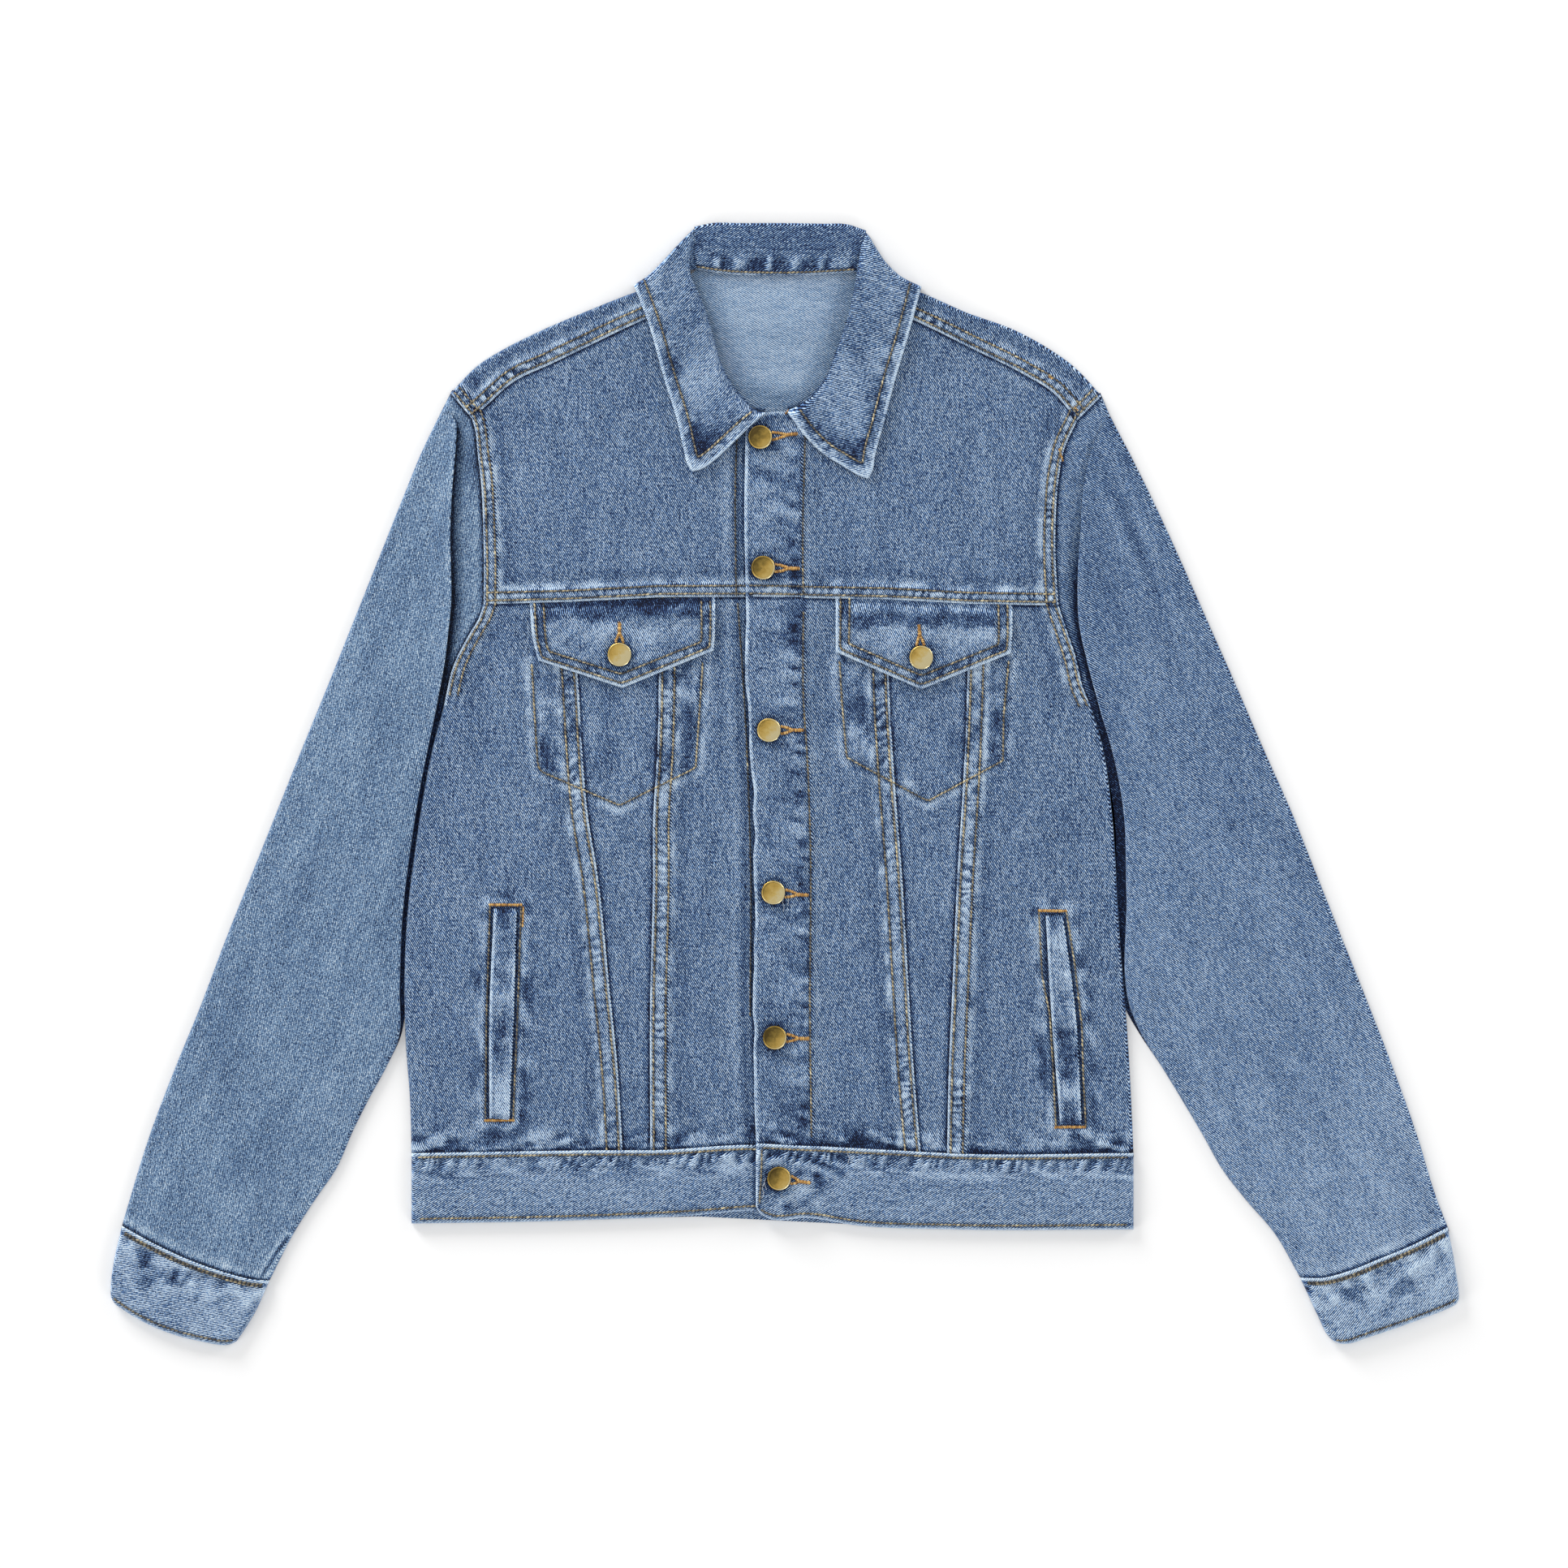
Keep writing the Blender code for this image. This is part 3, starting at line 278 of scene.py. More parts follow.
# Shader maths as expressions
class Wire:
    def __init__(self, paint, socket):
        self.paint, self.socket = paint, socket

    def maths(self, operation, first, second=0.0):
        return self.paint.node("ShaderNodeMath", {"operation": operation}, {0: first, 1: second})

    def __add__(self, other):
        return self.maths("ADD", self, other)

    def __radd__(self, other):
        return self.maths("ADD", other, self)

    def __sub__(self, other):
        return self.maths("SUBTRACT", self, other)

    def __rsub__(self, other):
        return self.maths("SUBTRACT", other, self)

    def __mul__(self, other):
        return self.maths("MULTIPLY", self, other)

    def __rmul__(self, other):
        return self.maths("MULTIPLY", other, self)

    def __truediv__(self, other):
        return self.maths("DIVIDE", self, other)


def shade(red, green, blue, light=0.78):
    # a screen colour as a shader takes it, darker because the studio's light is strong
    return tuple(light * ((c / 255 + 0.055) / 1.055) ** 2.4 for c in (red, green, blue)) + (1,)


class Paint:
    def __init__(self, name):
        self.material = bpy.data.materials.new(name)
        self.material.use_nodes = True
        self.tree = self.material.node_tree
        self.tree.nodes.clear()

    def node(self, kind, settings=None, values=None, out=0):
        made = self.tree.nodes.new(kind)
        for key, value in (settings or {}).items():
            setattr(made, key, value)
        for key, value in (values or {}).items():
            if isinstance(value, Wire):
                self.tree.links.new(value.socket, made.inputs[key])
            else:
                made.inputs[key].default_value = value
        return Wire(self, made.outputs[out]) if out is not None else made

    def ramp(self, value, stops):
        # a colour for each value, from rows of a place and its screen colour
        made = self.node("ShaderNodeValToRGB", {}, {0: value}, out=None)
        elements = made.color_ramp.elements
        while len(elements) < len(stops):
            elements.new(0.5)
        for element, (place, *colour) in zip(elements, stops):
            element.position, element.color = place, shade(*colour)
        return Wire(self, made.outputs[0])

    def pointValue(self, name, out="Fac"):
        return self.node("ShaderNodeAttribute", {"attribute_name": name}, out=out)

    def flatNoise(self, x, y, wide, high, detail=1.0):
        place = self.node("ShaderNodeCombineXYZ", {}, {0: x / wide, 1: y / high})
        return self.node("ShaderNodeTexNoise", {"noise_dimensions": "2D"},
                         {"Vector": place, "Scale": 1.0, "Detail": detail, "Roughness": 0.6}) - 0.5

    def grain(self, place, scale, detail, roughness=0.5):
        return self.node("ShaderNodeTexNoise", {},
                         {"Vector": place, "Scale": scale, "Detail": detail, "Roughness": roughness})

    def bump(self, height, strength, distance):
        return self.node("ShaderNodeBump", {}, {"Strength": strength, "Distance": distance, "Height": height})

    def finish(self, values):
        shader = self.node("ShaderNodeBsdfPrincipled", {}, values)
        self.node("ShaderNodeOutputMaterial", {}, {"Surface": shader}, out=None)
        return self.material


# Washed denim. The attribute "cloth" runs across and along its own yarns, and "tone" is its wear together
# with painted light and shade
denim = {
    "worn": 0.342, "toneShare": 0.48,
    "stops": ((0.0, 8, 17, 42), (0.16, 26, 51, 102), (0.34, 58, 94, 148), (0.50, 92, 129, 176),
              (0.68, 129, 165, 207), (0.84, 173, 203, 232), (1.0, 222, 238, 250)),
    "pitch": 1.22, "lean": 1,  # of the twill lines
    "twill": 0.54, "wales": 0.32, "slubs": 0.50, "flecks": 0.70, "specks": 1.10,
    "mottle": 0.36, "clouds": 0.26,
}
# how wide and long each kind of mark is
weave = {
    "slubs": (1.0, 13.0), "flecks": (0.7, 0.8), "specks": (1.35, 1.7), "mottle": (2.6, 6.0),
    "clouds": (14.0, 60.0, 2.0),
}
leftSleeveDenim = {
    **denim, "twill": 0.50, "wales": 0.28, "flecks": 0.8, "specks": 0.8, "mottle": 0.3, "clouds": 0.16,
}
rightSleeveDenim = {
    **denim, "worn": 0.455, "twill": 0.26, "wales": 0.16, "slubs": 0.3, "flecks": 1.2, "specks": 0.8,
    "mottle": 0.3, "clouds": 0.2,
    "stops": ((0.0, 12, 20, 38), (0.16, 34, 54, 93), (0.34, 65, 96, 138), (0.50, 97, 129, 166),
              (0.68, 132, 163, 195), (0.84, 175, 200, 223), (1.0, 220, 235, 246)),
}
insideDenim = {
    **denim, "worn": 0.615, "lean": -1, "twill": 0.40, "slubs": 0.3, "specks": 0.3, "mottle": 0.2,
    "stops": ((0.0, 18, 28, 50), (0.2, 56, 82, 120), (0.4, 98, 131, 171), (0.6, 128, 160, 195),
              (0.75, 150, 181, 212), (0.88, 184, 207, 231), (1.0, 222, 235, 247)),
}


def makeDenim(name, look):
    paint = Paint(name)
    parts = paint.node("ShaderNodeSeparateXYZ", {}, {0: paint.pointValue("cloth", "Vector")}, out=None)
    u, v = (Wire(paint, parts.outputs[k]) for k in (0, 1))
    across = u * 0.857 + v * (0.515 * look["lean"])
    up = v * 0.857 - u * (0.515 * look["lean"])
    marks = {kind: paint.flatNoise(u, v, *size) for kind, size in weave.items()}
    marks["wales"] = paint.flatNoise(across, up, 0.62, 2.4)
    wave = across * (2 * math.pi / look["pitch"]) + marks["mottle"] * 2.6
    marks["twill"] = wave.maths("SINE", wave) * (0.9 + marks["wales"] * 1.2)
    # tone carries painted light and shade as well as wear
    worn = look["worn"] + paint.pointValue("tone") * look["toneShare"]
    for kind, mark in marks.items():
        worn = worn + mark * look[kind]
    bumps = marks["flecks"] + marks["specks"] + marks["slubs"]
    relief = marks["twill"] * 0.5 + marks["wales"] * 0.6 + bumps * 0.3
    return paint.finish({"Base Color": paint.ramp(worn, look["stops"]), "Roughness": 0.97 - worn * 0.12,
                         "Normal": paint.bump(relief, 0.6, 0.0003), "Specular IOR Level": 0.25,
                         "Sheen Weight": 0.08, "Sheen Roughness": 0.5})


denimCloth = makeDenim("washedDenim", denim)
denimSleeves = {"right": makeDenim("washedDenimRight", rightSleeveDenim),
                "left": makeDenim("washedDenimLeft", leftSleeveDenim)}
denimInside = makeDenim("denimInside", insideDenim)
print("denim made")

pieces = {}
stitchLines = []  # what the thread follows, the pieces that it lies on, and how much paler it is
# lanes of points from an edge inwards: over a felled seam, under a neighbour, round a fold, and at a raw end
edgeLanes = (0, 0.3, 0.7, 1.2, 1.8, 2.4, 3.0, 3.8, 4.7, 5.6, 6.5, 7.3, 8.0, 8.6, 9.3, 10.0, 10.6, 11.2, 12.0,
             13.2)
coverLanes = (0, 0.4, 0.9, 1.6, 2.6)
foldLanes = (0, 0.25, 0.6, 1.1, 1.8, 2.8)


class Cloth:
    # a sheet on a grid: heights, wear with painted light and shade in its tone, and its own yarn directions
    def __init__(self, name, flat, level, tucked=(), grain=0.0, material=None, tone=0.0, tuck=layers["tuck"]):
        self.name, self.material, self.grain = name, material or denimCloth, grain
        self.cut = cutOf(flat)
        for edge in tucked:
            flat = self.extended(flat, edge, tuck)
        self.flat = flat
        self.x, self.y = flat[..., 0], flat[..., 1]
        ones = np.ones(flat.shape[:2])
        up, over = 0 * ones, 0 * ones
        up[1:] = np.cumsum(np.linalg.norm(np.diff(flat, axis=0), axis=-1), axis=0)
        over[:, 1:] = np.cumsum(np.linalg.norm(np.diff(flat, axis=1), axis=-1), axis=1)
        # how far each point lies from an edge, and along it
        self.to = {"low": up, "high": up[-1:] - up, "start": over, "finish": over[:, -1:] - over}
        for edge in tucked:
            self.to[edge] = self.to[edge] - tuck
        self.by = {"low": over[:1] * ones, "high": over[-1:] * ones, "start": up[:, :1] * ones,
                   "finish": up[:, -1:] * ones}
        self.z = (level(self.x, self.y) if callable(level) else level) * ones
        self.base = self.z.copy()
        self.lift, self.drop = 0 * ones, 0 * ones
        self.tone = ones * tone
        self.skirts = {}
        self.area = 0.5 * np.abs(np.cross(flat[1:, 1:] - flat[:-1, :-1], flat[1:, :-1] - flat[:-1, 1:])).sum()

    def extended(self, flat, edge, depth):
        # two more lanes that go under the neighbour
        across, last = edge in ("start", "finish"), edge in ("high", "finish")
        grid = flat.transpose(1, 0, 2) if across else flat
        grid = grid[::-1] if last else grid
        way = grid[0] - grid[1]
        way = way / np.linalg.norm(way, axis=-1, keepdims=True)
        grid = np.concatenate([[grid[0] + depth * way, grid[0] + 0.4 * depth * way], grid])
        grid = grid[::-1] if last else grid
        return grid.transpose(1, 0, 2) if across else grid

    def at(self, edge):
        return self.to[edge], self.by[edge]

    def spots(self, seed, wide, high, turn=0.0):
        return blotches(self.x, self.y, seed, wide, high, turn)

    def higher(self, rise):
        # what it lies on is higher here, so its yarns keep their pitch across
        self.z, self.base = self.z + rise, self.base + rise

    def raiseTo(self, height):
        self.lift = np.maximum(self.lift, height)

    def groove(self, edge, at, dark, wide=1.2, deep=0.0, deepWide=0.9, where=1.0):
        # the line that a row of stitches pulls in, painted dark as shade
        self.tone -= dark * bell(self.to[edge], at, wide) * where
        self.drop += deep * bell(self.to[edge], at, deepWide) * where

    def pucker(self, lump, where, pale, base=0.0, high=0.0):
        # cloth drawn up in lumps, which are worn pale on top
        self.tone += (pale * lump + base) * where
        self.drop -= high * lump * where

    def fell(self, edge, rows, seed, rope=1.0, where=1.0, halo=1.0):
        # a felled seam: a raised edge with stitch rows, rope puckers between them and pale wear beside it
        d, s = self.at(edge)
        width = rows[-1] + 0.5
        self.raiseTo(layers["fell"] * fade(d, width, width + 1.6) * where)
        between = soft(d, rows[0] - 0.3, rows[0] + 0.8) * fade(d, rows[-1] - 0.9, rows[-1] + 0.2) * where
        slow = blotches(s, d, seed + 1, 24.0, 50.0)
        turn = 2 * math.pi * (s + 0.35 * d) / 6.0 + 5.5 * blotches(s, d, seed, 9.0, 14.0)
        lump = hard(1.1 * np.sin(turn) + 0.9 * blotches(s, d, seed + 7, 2.6, 3.4)) * (0.65 + 0.6 * slow)
        paler = 0.42 - 0.25 * blotches(s, d, seed + 4, 13.0, 50.0)
        self.pucker(lump, between, 0.78 * rope, paler, 0.22 * rope)
        for row in rows:
            self.groove(edge, row, 0.85, deep=0.22, where=where)
        wear = 0.62 + 0.7 * blotches(s, d, seed + 2, 10.0, 40.0)
        wear += 0.5 * blotches(s + 0.3 * d, d, seed + 5, 2.6, 12.0)
        self.tone += 0.9 * halo * wear * bell(d, width + 2.2, 2.2) * where
        self.tone -= 0.2 * bell(d, width + 9.0, 4.0) * where
        self.edge(edge, seed + 3, where)

    def edge(self, edge, seed, where=1.0, depth=1.2, pale=1.0, radius=0.9):
        # a folded edge: rounded over, worn pale, and turned down onto what lies below
        d, s = self.at(edge)
        worn = 0.8 + 0.5 * blotches(s, d, seed, 1.5, 50.0) + 0.4 * blotches(s, d, seed + 1, 14.0, 50.0)
        self.tone += 1.5 * pale * worn * fade(d, 1.5, 2.6) * where
        self.drop += 0.7 * roundOver(d, radius) * where
        self.skirts[edge] = (depth, where)

    def under(self, edge, seed, strength=0.75, pale=0.2):
        # painted shadow: the dark line on cloth that goes in under a neighbour's edge, with pale wear a
        # little way out
        d, s = self.at(edge)
        self.tone -= 1.3 * strength * (0.85 + 0.3 * blotches(s, d, seed, 9.0, 50.0)) * fade(d, 0.6, 2.2)
        self.tone -= 0.3 * strength * fade(d, 1.0, 6.0)
        self.tone += pale * (0.6 + 0.8 * blotches(s, d, seed + 1, 12.0, 60.0)) * bell(d, 5.0, 3.0)

    def fold(self, edge, radius=2.6, low=0.3, where=1.0, tone=-0.1):
        # the cloth goes round to the underside; a tone below 0 paints shade on the rounded edge, one above 0
        # paints it worn pale
        inwards = unit(self.to[edge] / radius)
        fall = where * (1 - np.sqrt(1 - (1 - inwards) ** 2))
        self.z = self.z - (self.z - low) * fall
        self.lift = self.lift * (1 - fall)
        self.tone += tone * fade(self.to[edge], 0, 2.0) * where

    def row(self, edge, distance, trim=(0, 0)):
        # a line inside the piece, this far from one edge
        across = edge in ("start", "finish")
        d = self.to[edge] if across else self.to[edge].T
        points = self.flat if across else self.flat.transpose(1, 0, 2)
        if edge in ("finish", "high"):
            d, points = d[:, ::-1], points[:, ::-1]
        lines = zip(d, points)
        line = np.array([[np.interp(distance, run, line[:, k]) for k in (0, 1)] for run, line in lines])
        run = runOf(line)
        return line[(run >= trim[0]) & (run <= run[-1] - trim[1])]

    def stitch(self, edge, distances, trim=(1, 1), paler=0.0):
        for distance in distances:
            self.stitchLine(self.row(edge, distance, trim), paler)

    def stitchLine(self, line, paler=0.0):
        stitchLines.append((line, (self.name,), paler))

    def build(self, rests="back", stands=None):
        for x, y, names, *_ in buttons.values():
            if self.name in names:
                # painted shadow: cloth darkened close round the button
                away = np.hypot(self.x - x, self.y - y)
                self.tone -= 0.9 * bell(away, 8.6, 1.3) + 0.22 * bell(away, 11.5, 3.0)
        height = np.maximum(self.z + self.lift - self.drop, 0.15)
        points, tones = [np.dstack([self.flat, height]).reshape(-1, 3)], [self.tone.ravel()]
        base = self.base.ravel()
        rises = [height.ravel() - base]
        count = height.size
        index = np.arange(count).reshape(height.shape)
        corners = [index[:-1, :-1], index[:-1, 1:], index[1:, 1:], index[1:, :-1]]
        quads = [np.stack(corners, axis=-1).reshape(-1, 4)]
        for edge, (depth, where) in self.skirts.items():
            line = {"low": index[0], "high": index[-1], "start": index[:, 0], "finish": index[:, -1]}[edge]
            strength = np.broadcast_to(where, height.shape).ravel()[line]
            down = points[0][line]
            down[:, 2] = np.maximum(down[:, 2] - depth * strength, 0.05)
            points.append(down)
            # the turned-down side is painted darker, as shade
            tones.append(tones[0][line] - 0.9)
            rises.append(down[:, 2] - base[line])
            under = count + np.arange(len(line))
            count += len(line)
            skirt = np.stack([line[:-1], line[1:], under[1:], under[:-1]], axis=-1)
            quads.append(skirt[:, ::-1] if edge in ("high", "start") else skirt)
        points, tones, rises, quads = (np.concatenate(part) for part in (points, tones, rises, quads))
        first = points[quads[len(quads) // 3]]
        if np.cross(first[1] - first[0], first[2] - first[0])[2] < 0:
            quads = quads[:, ::-1]
        # yarns that keep their pitch down a steep edge, and start elsewhere in each piece
        seed = sum(map(ord, self.name))
        u, v = turned(points[:, 0], points[:, 1], self.grain)
        u, v = u + 37.7 * (seed % 23) + 0.8 * rises, v + 91.3 * (seed % 17) + 0.8 * rises
        self.quads = quads
        self.tree = BVHTree.FromPolygons(points.tolist(), quads.tolist())
        pieces[self.name] = self
        piece = meshObject(self.name, points, quads, self.material,
                           {"tone": np.clip(tones, -1.4, 1.4), "cloth": np.stack([u, v, 0 * u], axis=1)})
        if stands:
            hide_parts(stands)


def meshObject(name, points, faces, material, values):
    mesh = bpy.data.meshes.new(name)
    faces = np.asarray(faces)
    mesh.vertices.add(len(points))
    mesh.vertices.foreach_set("co", (np.asarray(points) * mm).astype(np.float32).ravel())
    mesh.loops.add(faces.size)
    mesh.loops.foreach_set("vertex_index", faces.astype(np.int32).ravel())
    mesh.polygons.add(len(faces))
    mesh.polygons.foreach_set("loop_start", np.arange(0, faces.size, faces.shape[1], dtype=np.int32))
    mesh.polygons.foreach_set("use_smooth", np.ones(len(faces), bool))
    mesh.update(calc_edges=True)
    for key, value in values.items():
        value = np.asarray(value, np.float32)
        single = value.ndim == 1
        layer = mesh.attributes.new(key, "FLOAT" if single else "FLOAT_VECTOR", "POINT")
        layer.data.foreach_set("value" if single else "vector", value.ravel())
    mesh.materials.append(material)
    piece = bpy.data.objects.new(name, mesh)
    bpy.context.scene.collection.objects.link(piece)
    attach(piece, "root")
    return piece


def heightOn(names, x, y):
    # the highest of these pieces at a point, if one is there
    hits = [pieces[name].tree.ray_cast(Vector((x, y, 60.0)), Vector((0, 0, -1)))[0] for name in names]
    return max((hit.z for hit in hits if hit is not None), default=None)


def cutOf(flat):
    # how wide and long a piece is cut: the smallest box round its grid
    boxes = []
    for turn in np.radians(np.arange(0, 180, 3)):
        boxes.append(tuple(float(np.ptp(values)) for values in turned(flat[..., 0], flat[..., 1], turn)))
    return min(boxes, key=math.prod)


# Buttons: across, up, the pieces below, tilt, tarnish, and where the buttonhole's bar ends
buttons = {
    "button_1": (-17, 240, ("frontYoke_left",), 6, 0.75, (9, 242.5)),
    "button_2": (-15, 150, ("frontYoke_left",), 0, 0.6, (10.5, 149.5)),
    "button_3": (-11, 38, ("frontCentre_left",), 0, 0.25, (13, 38)),
    "button_4": (-8, -74, ("frontCentre_left",), 0, 0.3, (16.5, -76)),
    "button_5": (-7, -174, ("frontCentre_left",), 0, 0.7, (17, -175)),
    "button_6": (-4, -271, ("waistbandFront_left",), 0, 0.65, (18, -274.5)),
    "button_flap_right": (-114, 90, ("pocketFlap_right",), 0, 0.15, (-114, 112.5)),
    "button_flap_left": (94, 88, ("pocketFlap_left",), 0, 0.15, (92.5, 111)),
}

# Stitch lines that cross several pieces: the pocket bags' outlines and the hand pocket boxes
crossing = {
    "right": (
        ((-174.7, 84), (-173, 53), (-170.8, 16), (-169, 9.8), (-114, -14), (-61.6, 12), (-56.6, 85)),
        ((-203.5, -82.6), (-206.0, -158), (-206.8, -230)),
        ((-182, -82.6), (-184.5, -158), (-187.6, -231)),
    ),
    "left": (
        ((37.8, 86), (39.2, 60), (42.6, 20), (43, 19), (98.6, -11), (150.6, 17), (151, 47), (154.6, 86)),
        ((175.3, -87), (177.5, -131), (183, -159), (185.4, -200), (187, -235)),
        ((194.3, -87), (200, -123), (205, -166), (206, -200), (207.8, -236)),
    ),
}

# The left front's placket: the row along it, and its wear below the yoke seam and above it
placketRow = fine(((12.9, 130), (12.9, 60), (15.7, 15), (17.4, -29), (17.4, -166), (18.5, -248)), 80)
placket = {
    "wide": 40.0,
    "lower": {"calm": 0.4, "puckers": (0.58, 0.03), "dark": (1.15, 4.5, 7, 3.6, 9.0, 0.15), "groove": 0.2,
              "halo": (0.196, 0.168)},
    "upper": {"calm": 1.0, "puckers": (0.5, 0.08), "dark": (0.9, 4.0, 6, 5.0, 7.0, 0.2), "groove": 0.0,
              "halo": (0.26, 0.0)},
}


def onFronts(side):
    return tuple(name + side for name in ("frontSide_", "frontWedge_", "frontCentre_"))


def waistMarks(panel, seed):
    # puckers, and a painted shadow, where the fronts go in under the waistband
    d, s = panel.at("low")
    lump = hard(1.7 * blotches(s, d, seed, 12.0, 3.6, 0.22))
    lump += 0.7 * blotches(s + 0.4 * d, d, seed + 5, 4.5, 11.0)
    close = fade(d, 7.0, 21.0) * soft(d, -1, 1.5) * (0.7 + 0.5 * blotches(s, d, seed + 6, 24.0, 90.0))
    panel.pucker(lump, close, 0.92, 0.06, 0.5)
    panel.under("low", seed + 1, 0.85, pale=0.0)


# Fronts below the yoke: side, wedge and centre panels
fronts = {
    "seeds": {"right": 100, "left": 200},
    "rows": (2.5, 10.9),  # of stitches, from the edge of a felled seam
    "armRows": (2.4, 8.1),
    "outsides": {"right": outerTop, "left": lambda x, y: outerTop(x, y) + lap(x)},
    "endLanes": {"right": (0.0,), "left": (0, 0.3, 0.7, 1.2, 1.8, 2.6)},  # at the centre front
    # the row along each front's facing, below the yoke seam and above it, and how much paler it is
    "facingRows": {
        "right": (fine(((-24, -160), (-23.6, -60), (-26.5, 30), (-30, 90), (-32.6, 126)), 59), -0.35),
        "left": (placketRow[2:-1], -0.15),
    },
}


def makeLowerFronts(side):
    seam, base = seams[side], fronts["seeds"][side]
    sideLine = joined(fine(seam["side"][::-1]), fine(seam["underarm"][::-1], 80))
    outer, inner, front = (fine(seam[name][::-1]) for name in ("outer", "inner", "front"))
    if side == "left":
        # the lapped edge waves a little
        within = soft(front[:, 1], -247, -225) * fade(front[:, 1], 105, 130)
        front[:, 0] += 1.1 * within * blotches(front[:, 1], 0 * front[:, 1], 77, 15.0, 50.0)
    up = lanes(runOf(outer)[-1], (0, 1.2, 2.6, 4.2), (0, 0.5, 1.1, 2.0, 3.2))
    # side panel
    across = lanes(math.dist(outer[0], sideLine[0]), foldLanes + edgeLanes[7:-4], edgeLanes)
    flat = patch(across, up, start=sideLine, finish=outer)
    panel = Cloth("frontSide_" + side, flat, outerTop, ("low", "high"))
    arm = soft(panel.y, 48, 62)
    panel.fell("finish", fronts["rows"], base + 1)
    panel.fell("start", fronts["armRows"], base + 11, where=arm, halo=0.7)
    panel.fold("start", where=1 - arm, tone=-0.25)
    panel.under("high", base + 21)
    waistMarks(panel, base + 31)
    makeWeltBed(panel, side, base + 41)
    pocketMarks(panel, side, base + 45)
    panel.build(stands="front_side_" + side)
    panel.stitch("finish", fronts["rows"])
    panel.stitch("start", fronts["armRows"], (runOf(fine(seam["side"]))[-1] + 6, 1))
    # wedge panel, sunk between its neighbours
    across = lanes(math.dist(inner[-1], outer[-1]), coverLanes, coverLanes)
    flat = patch(across, up, start=outer, finish=inner)
    panel = Cloth("frontWedge_" + side, flat, outerTop, ("low", "high", "start", "finish"))
    for k, edge in enumerate(("start", "finish", "high")):
        panel.under(edge, base + 51 + k, 0.8, pale=0.12)
    waistMarks(panel, base + 61)
    pocketMarks(panel, side, base + 65, 0.3)
    panel.build(stands="front_wedge_" + side)
    # centre panel
    across = lanes(math.dist(front[-1], inner[-1]), edgeLanes, fronts["endLanes"][side])
    flat = patch(across, up, start=inner, finish=front)
    panel = Cloth("frontCentre_" + side, flat, fronts["outsides"][side], ("low", "high"))
    panel.fell("start", fronts["rows"], base + 71)
    panel.under("high", base + 81)
    waistMarks(panel, base + 91)
    pocketMarks(panel, side, base + 98)
    if side == "left":
        past = np.interp(panel.y, placketRow[::-1, 1], placketRow[::-1, 0]) - panel.x
        placketMarks(panel, base + 95, placket["wide"] - 1.0 - past, placket["lower"])
    else:
        overlapShade(panel, "front")
    panel.build("back" if side == "right" else "frontCentre_right", stands="front_centre_" + side)
    panel.stitch("start", fronts["rows"])
    panel.stitchLine(*fronts["facingRows"][side])


def pocketMarks(panel, side, seed, worn=1.0):
    # worn patches over the pocket bag, and pale cloth just outside its stitching
    outline = np.array(crossing[side][0], float)
    gap, run = nearLine(panel.x, panel.y, outline)
    across = np.abs(panel.x - outline[np.argmin(outline[:, 1]), 0])
    depth = np.interp(across, [0, 55], [-12.5, 12])
    reach = np.interp(panel.y, [-14, 10, 90], [54, 54, 60.5])
    inside = soft(panel.y - depth, 0, 2) * fade(across, reach - 1, reach + 1) * fade(panel.y, 90, 110)
    patches = panel.spots(seed, 7.0, 13.0, 0.35) + 0.6 * panel.spots(seed + 1, 4.0, 6.0, -0.4)
    panel.tone += worn * (0.66 * patches - 0.08) * inside * soft(gap, 1.0, 3.5)
    panel.drop -= worn * 0.35 * patches * inside * soft(gap, 1.0, 5.0)
    lower = fade(panel.y, 92, 108)
    halo = 0.75 + 0.6 * blotches(run, gap, seed + 2, 9.0, 60.0)
    panel.tone += 0.8 * halo * bell(gap, 3.6, 2.6) * (1 - inside) * lower
    spots = unit(blotches(run, gap, seed + 3, 3.2, 30.0))
    panel.tone += 1.3 * (1 - worn) * spots * bell(gap, 4.0, 4.0) * inside * lower
    # painted shade along the stitched outline
    panel.tone -= 0.42 * bell(gap, 0, 1.2) * lower
    panel.raiseTo(0.35 * inside * soft(gap, 0.3, 1.5))


def placketMarks(panel, seed, d, look, where=1.0):
    # the placket stands up as far as its stitching, with puckers across it
    width, s = placket["wide"], panel.by["finish"]
    panel.raiseTo(0.7 * fade(d, width - 0.6, width + 1.0) * where)
    panel.edge("finish", seed, where, depth=2.4)
    lump = blotches(s, d, seed + 1, 4.2, 15.0, 0.12) + 0.6 * blotches(s, d, seed + 2, 9.0, 22.0)
    calm = look["calm"]
    middle = calm + (1 - calm) * soft(d, 16, width - 6)
    close = soft(d, 3.0, 9.0) * fade(d, width - 1.5, width) * middle * where
    panel.pucker(lump, close, *look["puckers"], 0.3)
    strength, wide, later, *sizes = look["dark"]
    dark = unit(2.0 * blotches(s, d, seed + later, *sizes) - 0.2)
    panel.tone -= strength * dark * bell(d, width - 6.5, wide) * where
    # painted shade along the stitch row
    panel.tone -= 0.32 * bell(d, width - 1.0, 1.1) * where
    panel.drop += look["groove"] * bell(d, width - 1.0, 0.9) * where
    pale, varied = look["halo"]
    panel.tone += (pale + varied * blotches(s, d, seed + 3, 12.0, 80.0)) * bell(d, width + 4.0, 3.0) * where


def overlapShade(panel, name):
    # the right front goes in under the left one, whose edge has this name
    edge = fine(seams["left"][name])
    edge = edge[np.argsort(edge[:, 1])]
    beyond = panel.x - np.interp(panel.y, edge[:, 1], edge[:, 0])
    panel.tone -= 0.8 * soft(beyond, -2.2, -0.2)
    panel.tone += 0.3 * bell(beyond, -12.5, 3.0) - 0.3 * bell(beyond, -6.5, 2.0)
    panel.tone -= 1.0 * bell(beyond, -2.0, 3.0) * bell(panel.y, -238, 9)


